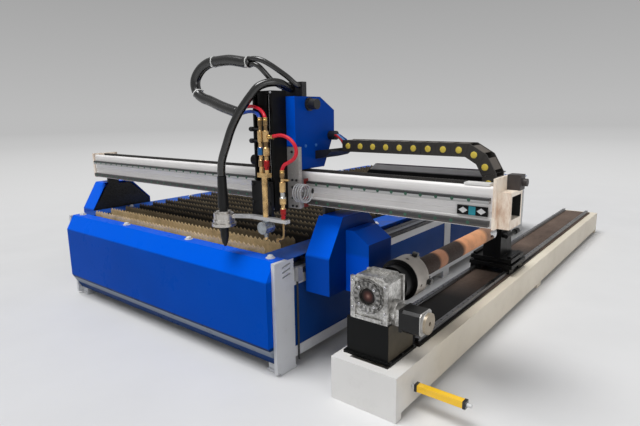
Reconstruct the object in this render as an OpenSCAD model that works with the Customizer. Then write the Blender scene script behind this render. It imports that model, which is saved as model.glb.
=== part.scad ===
// Plasma cutting table: slatted table, travelling gantry, torch lifter and a pipe rotary beside it.
// Millimetres. +X runs along the gantry beam to the right, +Y along the table away from its front, +Z up.

/* [Table] */
// Width of the table body across the gantry
table_w = 1700; // [1400:10:2100]
// Length of the table along the gantry travel
table_l = 3400; // [2800:10:4600]
// Height of the top border above the floor
table_h = 505; // [490:5:560]
// Reach of the frame past each end of the front cover
frame_out = 20; // [14:1:24]
// Width of the border along each side
border_w = 140; // [125:5:170]
// Thickness of the sheet metal
sheet = 3; // [2:0.5:4]
// Width of a leg across the table
leg_w = 78; // [70:1:84]
// Depth of a leg along the table
leg_d = 90; // [70:1:110]

/* [Front cover] */
// Depth of the slope below the front border
slope_d = 47; // [30:1:52]
// Height of the slope below the front border
slope_h = 80; // [50:1:110]
// Height of the lower bend above the floor
low_bend_z = 135; // [100:1:180]
// Height of the lower edge above the floor
low_edge_z = 43; // [30:1:60]
// Depth by which the lower edge is drawn in
low_edge_d = 51; // [30:1:53]
// Depth of the front border behind the slope
front_border_d = 65; // [50:1:80]

/* [Slats] */
// Distance from slat to slat
slat_pitch = 100; // [70:5:150]
// Length of one slat tooth
tooth_pitch = 29.2; // [20:0.1:45]
// Depth of the slat teeth
tooth_depth = 14; // [8:1:20]
// Height of the slat tips above the border
slat_rise = 30; // [20:1:32]
// Height of one slat
slat_h = 110; // [100:1:118]
// Thickness of one slat
slat_t = 4; // [3:0.5:6]

/* [Gantry] */
// Distance from the front cover to the beam at rest
beam_y = 254; // [250:1:600]
// Height of the beam's underside above the border
beam_lift = 209; // [203:1:226]
// Height of the beam
beam_h = 133; // [128:1:142]
// Depth of the beam
beam_d = 140; // [132:1:150]
// Reach of the beam past the right end of the front cover
beam_reach = 819; // [800:1:960]
// Width of a foot cover across the table
foot_w = 128; // [118:1:134]
// Length of a foot cover at its base
foot_l = 417; // [400:1:440]
// Width of a drive motor cover across the table
drive_cover_w = 118; // [100:1:118]
// Pitch of the cable chain's links
chain_pitch = 63; // [58:1:66]

/* [Gearing] */
// Module of the racks and pinions
gear_module = 4; // [3:0.5:4]
// Teeth on each pinion
pinion_teeth = 17; // [16:1:18]

/* [Lifter] */
// Width of the lifter column
column_w = 112; // [104:1:120]
// Depth of the lifter column
column_d = 82; // [78:1:90]
// Height of the lifter column
column_h = 495; // [480:1:520]
// Height of the carriage cover
cover_h = 304; // [290:1:320]
// Depth of the carriage cover at its widest
cover_d = 269; // [255:1:280]
// Diameter of the plasma torch body
torch_d = 36; // [30:1:40]
// Height of the torch tip above the border
tip_gap = 40; // [38:1:50]

/* [Rotary axis] */
// Distance of the pipe axis from the right end of the front cover
pipe_x = 420; // [412:1:460]
// Height of the pipe axis above the floor
pipe_z = 432; // [428:1:450]
// Length of the rotary bed
bed_l = 3600; // [3000:10:4200]
// Width of the rotary bed
bed_w = 290; // [276:2:300]
// Height of the rotary bed
bed_h = 177; // [165:1:185]
// Diameter of the chuck
chuck_d = 172; // [164:1:184]
// Diameter of the clamped pipe
pipe_d = 84; // [74:1:88]
// Length of the clamped pipe
pipe_l = 890; // [600:1:1000]

/* [Hidden] */
$fn = 48;

// Clearances
running_gap = 0.3;
seat_gap = 0.15;
slide_gap = 0.5;
seam = 1;

// Table levels and stations
side_x = frame_out;
under_border = table_h - sheet;
side_top = table_h - 55;
side_low = table_h - 125;
low_beam_z = 50;
low_beam_h = 48;
low_beam_top = low_beam_z + low_beam_h;
low_beam_w = 60;
pad_t = 12;
pad_lip = 6;
front_border_y = slope_d + front_border_d;
leg_y = 58;
leg_back = leg_y + leg_d;
leg_face_y = 31;
leg_face_x = 1;
mid_y = table_l / 2;
slot_w = 8;
slot_deep = 12;
slot_l = 50;
inner_x = side_x - leg_w;
border_in_x = side_x - border_w;
web_t = 6;
rear_border_d = 100;

// Slats, combs and tray
slat_gap = 6;
slat_x1 = border_in_x - slat_gap;
slat_x0 = -table_w - slat_x1;
slat_top = table_h + slat_rise;
slat_z = slat_top - slat_h;
slat_y0 = front_border_y + 13;
slat_y1 = table_l - rear_border_d - 20;
slat_n = floor((slat_y1 - slat_y0) / slat_pitch) + 1;
tooth_n = floor((slat_x1 - slat_x0) / tooth_pitch);
comb_t = 8;
comb_grip = 20;
comb_inset = 34;
comb_play = 0.3;
cross_h = 60;
cross_w = 60;
cross_top = side_low - seam;
tray_top = cross_top - cross_h - 3;
tray_gap = 2;

// Side rail, rack and drive
rail_w = 20;
rail_h = 18;
y_rail_x = side_x - 34;
y_rail_y0 = leg_back + 12;
y_rail_y1 = table_l - leg_back - 12;
rack_t = 20;
rack_h = 20;
rack_y0 = leg_back + 42;
rack_y1 = table_l - leg_back - 10;
rack_top = side_top - 2;
rack_tip = rack_top - rack_h;
pitch_r = gear_module * pinion_teeth / 2;
gear_pitch = PI * gear_module;
addendum = gear_module;
dedendum = 1.25 * gear_module;
backlash = 0.4;
pressure_angle = 20;
pinion_w = 16;
pinion_z = rack_tip + addendum - pitch_r;
pinion_side = 3;
shaft_d = 16;

// Gantry foot
foot_y0 = beam_y - 54;
foot_y1 = foot_y0 + foot_l;
foot_x0 = side_x + 24;
foot_x1 = foot_x0 + foot_w;
foot_low = table_h - 160;
foot_bend = table_h + 2;
foot_back_bend = table_h + 34;
foot_top = table_h + 165;
foot_front_run = 100;
foot_back_run = 131;
beam_z = table_h + beam_lift;
beam_top = beam_z + beam_h;
beam_y1 = beam_y + beam_d;
plate_t = 14;
plate_x0 = foot_x0 + 2;
plate_x1 = plate_x0 + plate_t;
plate_inset = 12;
drive_y = (foot_y0 + foot_y1) / 2;
saddle_z = side_top + 30;
block_l = 70;
block_w = 44;
block_lift = 3;
motor_w = 86;
motor_l = 175;
motor_flange = 10;
drive_cover_d = 180;
drive_cover_x1 = foot_x1 + drive_cover_w;
drive_cover_top = table_h + 107;
drive_cover_low = table_h - 165;
chamfer_x = 75;
chamfer_z = 52;

// Beam
beam_x0 = -table_w - 60;
beam_x1 = beam_reach;
beam_wall = 12;
lip_d = 22;
groove = 3;
upper_rail_z = beam_top - 37;
lower_rail_z = beam_z + 18;
end_plate_t = 20;
right_plate_t = 10;
tube_l = 39;
tube_inset = 18;
tube_wall = 15;
tube_low_wall = 30;
tab_h = 39;
stop_l = 90;
stop_w = 18;
stop_h = 19;
x_rack_y = beam_y + 42;
x_rack_h = 18;
x_rack_tip = x_rack_y + rack_h;
x_pinion_y = x_rack_tip - addendum + pitch_r;

// Cable tray and chain
chain_w = 88;
chain_h = 50;
chain_plate = 6;
chain_gap = 0.6;
chain_y = beam_y1 + 18;
chain_top_z = beam_top + 114;
chain_x0 = 88;
chain_upper_n = 9;
chain_n = 24;
chain_step = 30;
chain_low_z = chain_pivot(chain_n)[1];
tray_low = chain_low_z - chain_h / 2 - sheet - running_gap;
tray_x0 = -80;
tray_x1 = 760;
tray_y1 = chain_y + chain_w + 25;
tray_wall = 62;
tray_tall = beam_top + 32;
tray_rim = 14;
tray_hang = 60;
tray_slant_x0 = 60;
tray_slant_x1 = 190;

// Carriage
column_x1 = -48;
column_x0 = column_x1 - column_w;
column_mid = (column_x0 + column_x1) / 2;
carriage_y1 = beam_y - 32;
carriage_t = 20;
carriage_y0 = carriage_y1 - carriage_t;
carriage_x0 = column_x0 - 15;
carriage_x1 = 15;
carriage_low = table_h + 200;
carriage_top = beam_top + 118;
bridge_z = beam_top + 21;
bridge_t = 12;
cover_x1 = 0;
cover_x0 = carriage_x0;
cover_top = bridge_z + cover_h;
cover_y1 = carriage_y0 + cover_d;
cover_shoulder_y = carriage_y0 + 169;
cover_shoulder_z = 57;
cover_waist_z = bridge_z + 153;
cover_foot_y = carriage_y0 + 193;
x_motor_x = -88;
x_motor_h = 120;
x_block_l = 70;
x_block_xs = [carriage_x0 + 10, carriage_x1 + 12 - x_block_l];
lead_wire_d = 10;

// Lifter column
column_y0 = carriage_y0 - column_d;
column_z = table_h + 195;
column_top = column_z + column_h;
column_wall = 10;
cap_t = 14;
strip_w = column_w - 60;
strip_t = 6;
screw_d = 16;
rod_d = 12;
rod_out = 32;
screw_y = carriage_y0 - column_wall - 32;
nut_h = 96;
nut_z = column_z + cap_t + 16;
nut_w = column_w - 28;
nut_d = 40;
arm_w = 16;
arm_x = column_w / 2 - 20;
bar_y = 66;
bar_d = 24;
bar_z = table_h + 167;
bar_t = 14;
front_plate_t = 16;
front_plate_y1 = column_y0 - 8;
front_plate_y0 = front_plate_y1 - front_plate_t;

// Torches
torch_x = -244;
torch_y = 6;
torch_z = table_h + tip_gap;
nozzle_h = 45;
tube_h = 125;
handle_h = 133;
collar_d = 86;
flange_d = 104;
flange_h = 12;
clamp_split = 4;
relief_d = 46;
clamp_drop = 35;
clamp_reach = collar_d / 2 + 10;
bar_x0 = column_mid - 30;
bar_x1 = 70;
tilt = atan2(bar_y - torch_y, bar_x0 - torch_x);
tilt_l = norm([bar_x0 - torch_x, bar_y - torch_y]);
flame_x = -52;
flame_d = 24;
flame_h = 164;
valve_out = 15;
valve_h = 227;
tee_x = 46;
tee_h = 200;
hose_d = 14;

// Rotary
bed_y = 52;
bed_mid = pipe_x + 15;
bed_x0 = bed_mid - bed_w / 2;
bed_x1 = bed_mid + bed_w / 2;
bed_end = bed_y + bed_l;
bed_beam_w = 60;
bed_foot_h = 25;
bed_block_d = 40;
base_t = 12;
base_w = 212;
base_d = 204;
base_mid = pipe_x - 5;
base_y = bed_y + 56;
box_w = 188;
gear_w = 164;
gear_h = 176;
gear_d = 126;
gear_y0 = base_y + 8;
gear_z = pipe_z - 101;
ring_d = 134;
ring_h = 12;
bore_d = 70;
rib_n = 16;
spindle_d = 40;
worm_z = pipe_z - 76;
worm_y = gear_y0 + gear_d / 2;
worm_boss = 35;
motor_h = 86;
bed_plate_t = 8;
bed_plate_y0 = base_y + base_d + 10;
bed_plate_y1 = bed_end - 60;
bed_top = bed_h + bed_plate_t;
chuck_y = gear_y0 + gear_d + ring_h + 84;
chuck_l = 100;
chuck_face = chuck_y + chuck_l;
hub_d = 140;
hub_l = 56;
chuck_bore = 56;
jaw_w = 24;
jaw_slot = 20;
jaw_angle = -12;
jaw_l = 54;
jaw_steps = 3;
jaw_step = 16;
pipe_wall = 5;
pipe_y0 = chuck_face + 2;
pipe_y1 = pipe_y0 + pipe_l;
notch_l = 60;
center_d = 92;
center_tip = 48;
center_l = 42;
center_shaft = 30;
pipe_bore = pipe_d - 2 * pipe_wall;
center_y = pipe_y1 - center_l * (pipe_bore - 4 * running_gap - center_tip) / (center_d - center_tip);
sleeve_d = 64;
sleeve_l = 50;
tail_y = center_y + center_l + running_gap + sleeve_l;
tail_base_d = 250;
tail_base_w = 246;
tail_rail_xs = [bed_mid - 112, bed_mid + 72];
tail_block_z = bed_top + 5;
tail_plate_z = bed_top + 36;
tail_plate_t = 20;

// Overall extents, used to put the origin at the middle of the footprint
left_end = -table_w - drive_cover_x1;
right_end = beam_x1 + right_plate_t + tube_l + 22;
front_end = torch_y - flange_d / 2;
back_end = max(table_l, bed_end);
origin_x = (left_end + right_end) / 2;
origin_y = (front_end + back_end) / 2;

// Hose routes, points chosen by hand
bundle_d = 46;
strand_d = 22;
lead_d = 34;
hose_block_y = carriage_y0 + 52 + running_gap;
bundle_route = [
    [-208, 160, 1318], [-236, 160, 1318], [-280, 156, 1326], [-330, 152, 1333], [-396, 146, 1332],
    [-450, 141, 1327], [-500, 136, 1304], [-532, 130, 1266], [-534, 126, 1228], [-510, 121, 1194],
    [-468, 116, 1174], [-420, 112, 1162], [-332, 102, 1136], [-224, 94, 1109]
];
low_strand_route = [
    [-208, 160, 1307], [-180, 160, 1307], [-158, 164, 1296], [-140, 178, 1272], [-124, 200, 1242],
    [-110, 224, 1222], [-102, 240, 1214], [-100, 248, 1212], [-100, 254, 1212]
];
high_strand_route = [
    [-208, 160, 1329], [-180, 160, 1329], [-146, 166, 1322], [-110, 180, 1302], [-76, 198, 1276],
    [-46, 216, 1250], [-27, 231, 1228], [-18, 242, 1218], [-16, 249, 1216], [-16, 254, 1216]
];
lead_route = [
    [-244, 6, 848], [-244, 6, 880], [-236, 7, 920], [-214, 13, 978], [-194, 26, 1042], [-172, 46, 1100],
    [-152, 64, 1140], [-128, 84, 1180], [-108, 100, 1208], [-90, 122, 1222], [-72, 150, 1228],
    [-62, 182, 1226], [-58, 212, 1216], [-58, 236, 1208], [-58, 246, 1206], [-58, 254, 1206]
];
red_route = [
    [-222, 94, 1118], [-196, 97, 1127], [-166, 100, 1133], [-136, 100, 1133], [-96, 92, 1123],
    [-60, 77, 1108], [-42, 68, 1094], [-37, 66, 1085], [-37, 66, 1077]
];
red_link_route = [
    [-22, 66, 1014], [-8, 66, 1014], [18, 66, 1018], [50, 66, 1020], [90, 65, 1008], [118, 63, 984],
    [126, 62, 958], [114, 62, 934], [86, 63, 918], [60, 65, 906], [48, 66, 890], [46, 66, 882], [46, 66, 873]
];
blue_route = [
    [-226, 94, 1100], [-200, 96, 1106], [-170, 99, 1112], [-139, 99, 1112], [-106, 89, 1105], [-82, 74, 1096],
    [-70, 67, 1089], [-67, 66, 1084], [-67, 66, 1077]
];

// Coiled cord beside the lifter plate
coil_turns = 4;
coil_r = 36;
coil_pitch = 13;
coil_tube = 6;
coil_y = carriage_y0 + carriage_t / 2 - coil_r;
coil_z = beam_top - 68;

// General shapes

module block(x0, x1, y0, y1, z0, z1) {
    translate([x0, y0, z0])
        cube([x1 - x0, y1 - y0, z1 - z0]);
}

// Outline of Y and Z values drawn out along X
module prism_x(x0, x1, points) {
    translate([x0, 0, 0])
        rotate([90, 0, 90])
            linear_extrude(x1 - x0)
                polygon(points);
}

// Outline of X and Z values drawn out along Y
module prism_y(y0, y1, points) {
    translate([0, y1, 0])
        rotate([90, 0, 0])
            linear_extrude(y1 - y0)
                polygon(points);
}

module rod_x(x0, x1, y, z, d) {
    translate([x0, y, z])
        rotate([0, 90, 0])
            cylinder(d = d, h = x1 - x0);
}

module rod_y(y0, y1, x, z, d, d2 = 0) {
    translate([x, y0, z])
        rotate([-90, 0, 0])
            cylinder(d1 = d, d2 = d2 > 0 ? d2 : d, h = y1 - y0);
}

module rod_z(z0, z1, x, y, d, d2 = 0) {
    translate([x, y, z0])
        cylinder(d1 = d, d2 = d2 > 0 ? d2 : d, h = z1 - z0);
}

// Mirrors a right-hand piece to the table's left side
module left_side() {
    translate([-table_w, 0, 0])
        mirror([1, 0, 0])
            children();
}

module both_sides() {
    children();
    left_side()
        children();
}

module placed() {
    translate([-origin_x, -origin_y, 0])
        children();
}

// Tube swept along a route of points
function unit(v) = v / norm(v);
function heading(p, i) =
    i == 0 ? unit(p[1] - p[0])
    : i == len(p) - 1 ? unit(p[i] - p[i - 1])
    : unit(unit(p[i + 1] - p[i]) + unit(p[i] - p[i - 1]));
function side_of(t) = unit(cross(t, abs(t.y) < 0.9 ? [0, 1, 0] : [1, 0, 0]));
function ring_points(p, i, r, sides) =
    let (t = heading(p, i), u = side_of(t), v = cross(t, u))
    [for (k = [0 : sides - 1]) p[i] + r * (cos(360 * k / sides) * u + sin(360 * k / sides) * v)];
module tube(p, d, sides = 8) {
    n = len(p);
    points = [for (i = [0 : n - 1]) each ring_points(p, i, d / 2, sides)];
    walls = [
        for (i = [0 : n - 2], k = [0 : sides - 1])
            let (a = i * sides + k, b = i * sides + (k + 1) % sides)
            each [[a, b + sides, b], [a, a + sides, b + sides]]
    ];
    first = [for (k = [1 : sides - 2]) [0, k, k + 1]];
    base = (n - 1) * sides;
    last = [for (k = [1 : sides - 2]) [base, base + k + 1, base + k]];
    polyhedron(points, concat(walls, first, last), convexity = 6);
}

// Gearing

function polar(r, a) = [r * cos(a), r * sin(a)];
function flank_angle(r, rb) = r <= rb ? 0 : let (t = sqrt(r * r / (rb * rb) - 1)) t * 180 / PI - atan(t);

// Involute pinion of the named module and teeth, one tooth pointing along +X
module pinion(w) {
    rb = pitch_r * cos(pressure_angle);
    ra = pitch_r + addendum;
    rf = pitch_r - dedendum;
    half = 90 / pinion_teeth + flank_angle(pitch_r, rb) - backlash / 2 / pitch_r * 180 / PI;
    steps = 4;
    radii = [rf, for (k = [0 : steps]) rb + (ra - rb) * k / steps];
    points = [
        for (i = [0 : pinion_teeth - 1])
            let (mid = 360 * i / pinion_teeth)
            each concat(
                [for (r = radii) polar(r, mid - half + flank_angle(r, rb))],
                [for (k = [steps + 1 : -1 : 0]) polar(radii[k], mid + half - flank_angle(radii[k], rb))]
            )
    ];
    linear_extrude(w)
        polygon(points);
}

// Outline of a rack: teeth point to -v, a tooth gap is centred on u = meet
function rack_outline(u0, u1, meet, tip, back) =
    let (
        quarter = gear_pitch / 4 - backlash / 4,
        slope = tan(pressure_angle),
        root = tip + addendum + dedendum,
        first = ceil((u0 - meet) / gear_pitch),
        last = floor((u1 - meet) / gear_pitch) - 1
    )
    concat(
        [[u1, back], [u0, back], [u0, root]],
        [
            for (i = [first : last])
                let (mid = meet + (i + 0.5) * gear_pitch)
                each [
                    [mid - quarter - dedendum * slope, root],
                    [mid - quarter + addendum * slope, tip],
                    [mid + quarter - addendum * slope, tip],
                    [mid + quarter + dedendum * slope, root]
                ]
        ],
        [[u1, root]]
    );

// Table

module leg(y0, top) {
    block(inner_x, side_x, y0, y0 + leg_d, pad_t, top);
    block(inner_x - pad_lip, side_x, y0 - pad_lip, y0 + leg_d + pad_lip, 0, pad_t);
}

module front_leg() {
    difference() {
        union() {
            leg(leg_y, under_border);
            block(leg_face_x, side_x, leg_face_y, leg_y, pad_t, under_border);
        }
        for (i = [0 : 2])
            translate([side_x - slot_deep, leg_y + leg_d / 2, under_border - 22 - i * 22])
                rotate([12, 0, 0])
                    translate([0, -slot_l / 2, -slot_w / 2])
                        cube([slot_deep + 1, slot_l, slot_w]);
    }
}

module legs() {
    color("gainsboro")
        both_sides() {
            front_leg();
            leg(mid_y - leg_d / 2, side_low);
            leg(table_l - leg_back, under_border);
        }
}

module cross_beam(y, z0, z1) {
    block(-table_w - inner_x, inner_x, y - cross_w / 2, y + cross_w / 2, z0, z1);
}

module frame_beams() {
    stations = [leg_y + leg_d / 2, mid_y, table_l - leg_y - leg_d / 2];
    color("silver") {
        both_sides() {
            block(inner_x, side_x, leg_back, table_l - leg_back, side_low, side_top);
            block(side_x - low_beam_w, side_x, leg_back, mid_y - leg_d / 2, low_beam_z, low_beam_top);
            block(side_x - low_beam_w, side_x, mid_y + leg_d / 2, table_l - leg_back,
                  low_beam_z, low_beam_top);
        }
        for (y = stations) {
            cross_beam(y, cross_top - cross_h, cross_top);
            cross_beam(y, low_beam_z, low_beam_top);
        }
    }
}

module side_panels() {
    color("midnightblue") {
        both_sides() {
            block(side_x - 2 * sheet, side_x - sheet, leg_back, mid_y - leg_d / 2, low_beam_top, side_low);
            block(side_x - 2 * sheet, side_x - sheet, mid_y + leg_d / 2, table_l - leg_back,
                  low_beam_top, side_low);
        }
        block(-table_w - inner_x, inner_x, table_l - leg_y - sheet, table_l - leg_y,
              low_beam_top + 2, under_border);
    }
}

module front_cover() {
    bend_z = table_h - slope_h;
    outer = [
        [front_border_y, table_h], [slope_d, table_h], [0, bend_z], [0, low_bend_z], [low_edge_d, low_edge_z]
    ];
    inner = [
        [low_edge_d + sheet, low_edge_z], [sheet, low_bend_z], [sheet, bend_z],
        [slope_d + sheet, under_border], [front_border_y, under_border]
    ];
    cap_y = max(slope_d, low_edge_d) + sheet;
    cap = [
        [cap_y, under_border], [slope_d + sheet, under_border], [0, bend_z], [0, low_bend_z],
        [low_edge_d, low_edge_z], [cap_y, low_edge_z]
    ];
    color("royalblue")
        union() {
            prism_x(-table_w, 0, concat(outer, inner));
            for (x = [-table_w, -sheet])
                prism_x(x, x + sheet, cap);
        }
}

module top_border() {
    y1 = table_l - rear_border_d - seam;
    color("royalblue") {
        both_sides() {
            block(border_in_x, side_x, front_border_y + seam, y1, under_border, table_h);
            block(inner_x, inner_x + web_t, leg_back, table_l - leg_back,
                  side_top, under_border - running_gap);
        }
        block(-table_w - side_x, side_x, table_l - rear_border_d, table_l, under_border, table_h);
    }
}

module slats() {
    l = slat_x1 - slat_x0;
    step = l / tooth_n;
    outline = concat(
        [[slat_x1, slat_top - tooth_depth], [slat_x1, slat_z], [slat_x0, slat_z]],
        [for (i = [0 : tooth_n - 1]) each [
            [slat_x0 + i * step, slat_top - tooth_depth],
            [slat_x0 + (i + 0.5) * step, slat_top]
        ]]
    );
    color("peru")
        for (i = [0 : slat_n - 1])
            prism_y(slat_y0 + i * slat_pitch, slat_y0 + i * slat_pitch + slat_t, outline);
}

module slat_combs() {
    y0 = leg_y + leg_d / 2 - cross_w / 2;
    y1 = table_l - y0;
    top = slat_z + comb_grip;
    outline = concat(
        [[y1, top], [y1, cross_top], [y0, cross_top], [y0, top]],
        [for (i = [0 : slat_n - 1])
            let (a = slat_y0 + i * slat_pitch - comb_play, b = a + slat_t + 2 * comb_play)
            each [[a, top], [a, slat_z], [b, slat_z], [b, top]]]
    );
    color("dimgray")
        for (x = [slat_x0 + comb_inset, -table_w / 2, slat_x1 - comb_inset])
            prism_x(x - comb_t / 2, x + comb_t / 2, outline);
}

module tray() {
    x1 = inner_x - tray_gap;
    x0 = -table_w - x1;
    y0 = leg_y + tray_gap;
    y1 = table_l - leg_y - sheet - tray_gap;
    z0 = low_beam_top + sheet;
    wall_z = z0 + running_gap;
    end = sheet + running_gap;
    color("slategray") {
        block(x0, x1, y0, y1, low_beam_top, z0);
        for (x = [x0, x1 - sheet])
            block(x, x + sheet, y0, y1, wall_z, tray_top);
        for (y = [y0, y1 - sheet])
            block(x0 + end, x1 - end, y, y + sheet, wall_z, tray_top);
    }
}

// Profile of a guide rail with its waisted sides, foot at v = 0
function rail_outline(mid) = [
    [mid - rail_w / 2, 0], [mid + rail_w / 2, 0], [mid + rail_w / 2, rail_h * 0.35],
    [mid + rail_w * 0.38, rail_h * 0.5], [mid + rail_w / 2, rail_h * 0.7], [mid + rail_w / 2, rail_h],
    [mid - rail_w / 2, rail_h], [mid - rail_w / 2, rail_h * 0.7], [mid - rail_w * 0.38, rail_h * 0.5],
    [mid - rail_w / 2, rail_h * 0.35]
];

module y_rails() {
    color("gray")
        both_sides()
            translate([0, 0, side_top])
                prism_y(y_rail_y0, y_rail_y1, rail_outline(y_rail_x));
}

module y_racks() {
    color("dimgray")
        both_sides()
            prism_x(side_x, side_x + rack_t, rack_outline(rack_y0, rack_y1, drive_y, rack_tip, rack_top));
}

module limit_switch() {
    y = leg_back + 4;
    z1 = side_top + 10;
    z0 = z1 - 60;
    color("gray") {
        block(side_x, side_x + 22, y, y + 30, z0, z1);
        block(side_x + 4, side_x + 14, y + 30, y + 36, z1 - 24, z1 - 8);
        rod_z(pad_t + 20, z0, side_x + 4.5, y + 14, 9);
    }
}

// Rotary bed

module bed_beams() {
    color("whitesmoke")
        for (x = [bed_x0, bed_x1 - bed_beam_w])
            block(x, x + bed_beam_w, bed_y + bed_block_d, bed_end - bed_block_d, bed_foot_h, bed_h);
}

module bed_ends() {
    mid = bed_y + bed_l / 2;
    color("whitesmoke") {
        block(bed_x0, bed_x1, bed_y, bed_y + bed_block_d, 0, bed_h);
        block(bed_x0, bed_x1, bed_end - bed_block_d, bed_end, 0, bed_h);
        block(bed_x0, bed_x1, mid - 40, mid + 40, 0, bed_foot_h);
    }
}

module bed_plate() {
    color("saddlebrown")
        block(bed_x0 + 10, bed_x1 - 50, bed_plate_y0, bed_plate_y1, bed_h, bed_top);
}

module bed_rails() {
    color("gray")
        for (x = tail_rail_xs)
            translate([0, 0, bed_top])
                prism_y(bed_plate_y0 + 20, bed_plate_y1 - 20, rail_outline(x));
}

module pedestal() {
    x0 = base_mid - box_w / 2;
    base_x0 = base_mid - base_w / 2;
    color("black")
        union() {
            block(base_x0, base_x0 + base_w, base_y, base_y + base_d, bed_h, bed_h + base_t);
            block(x0, x0 + box_w, base_y + 8, base_y + base_d - 8, bed_h + base_t, gear_z);
        }
}

// Worm gearbox with a ribbed ring on its front, a hollow top and the boss that carries the motor
module gearbox() {
    x0 = pipe_x - gear_w / 2;
    x1 = pipe_x + gear_w / 2;
    z1 = gear_z + gear_h;
    c = 20;
    foot = 14;
    y1 = gear_y0 + gear_d;
    h = motor_h / 2;
    color("silver")
        difference() {
            union() {
                prism_y(gear_y0 + 8, y1 - 8, [
                    [x0 + 6, gear_z], [x1 - 6, gear_z], [x1 - 6, z1 - c], [x1 - 6 - c, z1],
                    [x0 + 6 + c, z1], [x0 + 6, z1 - c]
                ]);
                block(x0, x1, gear_y0, y1, gear_z, gear_z + foot);
                for (x = [x0, x1 - 20], y = [gear_y0, y1 - 12])
                    block(x, x + 20, y, y + 12, gear_z + foot, z1 - 8);
                block(x0, x1, gear_y0, gear_y0 + 12, z1 - 2 * foot, z1 - foot);
                rod_y(gear_y0 - 4, y1 + ring_h, pipe_x, pipe_z, ring_d);
                rod_y(gear_y0 - ring_h, gear_y0 - 4, pipe_x, pipe_z, ring_d - 18);
                for (i = [0 : rib_n - 1])
                    translate([pipe_x, 0, pipe_z])
                        rotate([0, 360 * i / rib_n, 0])
                            block(bore_d / 2 + 6, ring_d / 2, gear_y0 - 9, gear_y0, -4, 4);
                block(x1 - 6, x1 + worm_boss, worm_y - h + 6, worm_y + h - 6, gear_z, worm_z + h - 6);
                rod_x(x1 - 6, x1 + 18, worm_y, worm_z + 14, 92);
            }
            block(x0 - 1, x1 + worm_boss + 1, gear_y0 - 1, y1 + 1, gear_z - 60, gear_z);
            block(x0 + 6 + c, x1 - 6 - c, gear_y0 + 26, y1 - 26, z1 - 12, z1 + 1);
            rod_y(gear_y0 - ring_h - 1, y1 + ring_h + 1, pipe_x, pipe_z, spindle_d + 2 * running_gap);
            rod_y(gear_y0 - ring_h - 1, gear_y0 + 8, pipe_x, pipe_z, bore_d);
            for (x = [x0 + 24, x1 - 24])
                rod_y(gear_y0 - 1, gear_y0 + 14, x, gear_z + foot / 2, 7);
        }
}

module rotary_motor() {
    x0 = pipe_x + gear_w / 2 + worm_boss;
    y = worm_y;
    z = worm_z;
    h = motor_h / 2;
    c = 10;
    outline = [
        [y - h + c, z - h], [y + h - c, z - h], [y + h, z - h + c], [y + h, z + h - c],
        [y + h - c, z + h], [y - h + c, z + h], [y - h, z + h - c], [y - h, z - h + c]
    ];
    color("black")
        difference() {
            union() {
                block(x0, x0 + 12, y - h, y + h, z - h, z + h);
                prism_x(x0 + 12, x0 + 88, outline);
                rod_x(x0 + 88, x0 + 104, y, z, 80);
            }
            rod_x(x0 + 94, x0 + 105, y, z, 16);
        }
}

module light_bar() {
    x0 = bed_x1;
    y = bed_y + 123;
    z = 96;
    s = 26;
    l = 176;
    color("gold") {
        rod_x(x0, x0 + 12, y, z, 14);
        block(x0 + 12, x0 + 24, y - s / 2 - 1, y + s / 2 + 1, z - s / 2 - 1, z + s / 2 + 1);
        block(x0 + 24, x0 + 24 + l, y - s / 2, y + s / 2, z - s / 2, z + s / 2);
        block(x0 + 24 + l, x0 + 36 + l, y - s / 2 - 1, y + s / 2 + 1, z - s / 2 - 1, z + s / 2 + 1);
        rod_x(x0 + 36 + l, x0 + 54 + l, y, z, 14);
    }
}

// Gantry

module beam() {
    mid_low = lower_rail_z + rail_w / 2 + 6;
    mid_high = upper_rail_z - rail_w / 2 - 26;
    outline = [
        [beam_y + 8, beam_z], [beam_y1, beam_z], [beam_y1, beam_top], [beam_y, beam_top],
        [beam_y, mid_high], [beam_y + groove, mid_high - groove], [beam_y + groove, mid_low + groove],
        [beam_y, mid_low], [beam_y, beam_z + 6], [beam_y + 8, beam_z + 6]
    ];
    color("whitesmoke")
        difference() {
            union() {
                prism_x(beam_x0, beam_x1, outline);
                rod_x(beam_x0, beam_x1, beam_y + lip_d / 2, beam_top, lip_d);
            }
            block(beam_x0 - 1, beam_x1 + 1, beam_y + groove + beam_wall, beam_y1 - beam_wall,
                  beam_z + beam_wall, beam_top - beam_wall);
        }
}

// End plates of the beam; the right one rises as a tab and carries a box tube
module beam_ends() {
    x = beam_x1 + right_plate_t;
    y0 = beam_y + tube_inset;
    z1 = beam_top - 9;
    stop_x = beam_x1 - stop_l - 16;
    stop_y = x_rack_y - stop_w - 2;
    color("linen") {
        block(beam_x0 - end_plate_t, beam_x0, beam_y - 6, beam_y1 + 14, beam_z, beam_top + 18);
        difference() {
            union() {
                block(beam_x1, x, beam_y - 12, beam_y1 + 4, beam_z, beam_top + tab_h);
                block(x, x + tube_l, y0, beam_y1, beam_z, z1);
            }
            block(beam_x1 - 1, x + tube_l + 1, y0 + tube_wall, beam_y1 - tube_wall,
                  beam_z + tube_low_wall, z1 - tube_wall);
        }
        block(stop_x, stop_x + stop_l, stop_y, stop_y + stop_w, beam_top, beam_top + stop_h);
        block(stop_x, stop_x + stop_l, beam_y + 2, stop_y,
              beam_top + lip_d / 2 + running_gap, beam_top + stop_h);
    }
}

module end_connector() {
    x = beam_x1 + right_plate_t;
    y = beam_y + 92;
    z = beam_top - 9;
    color("black") {
        block(x, x + tube_l + 6, y, beam_y1, z, z + 52);
        rod_x(x + tube_l + 6, x + tube_l + 22, y + 24, z + 26, 26);
    }
}

module x_rails() {
    color("gray")
        for (z = [lower_rail_z, upper_rail_z])
            prism_x(beam_x0 + 10, beam_x1 - 10, [for (p = rail_outline(0)) [beam_y - p[1], z + p[0]]]);
}

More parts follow.
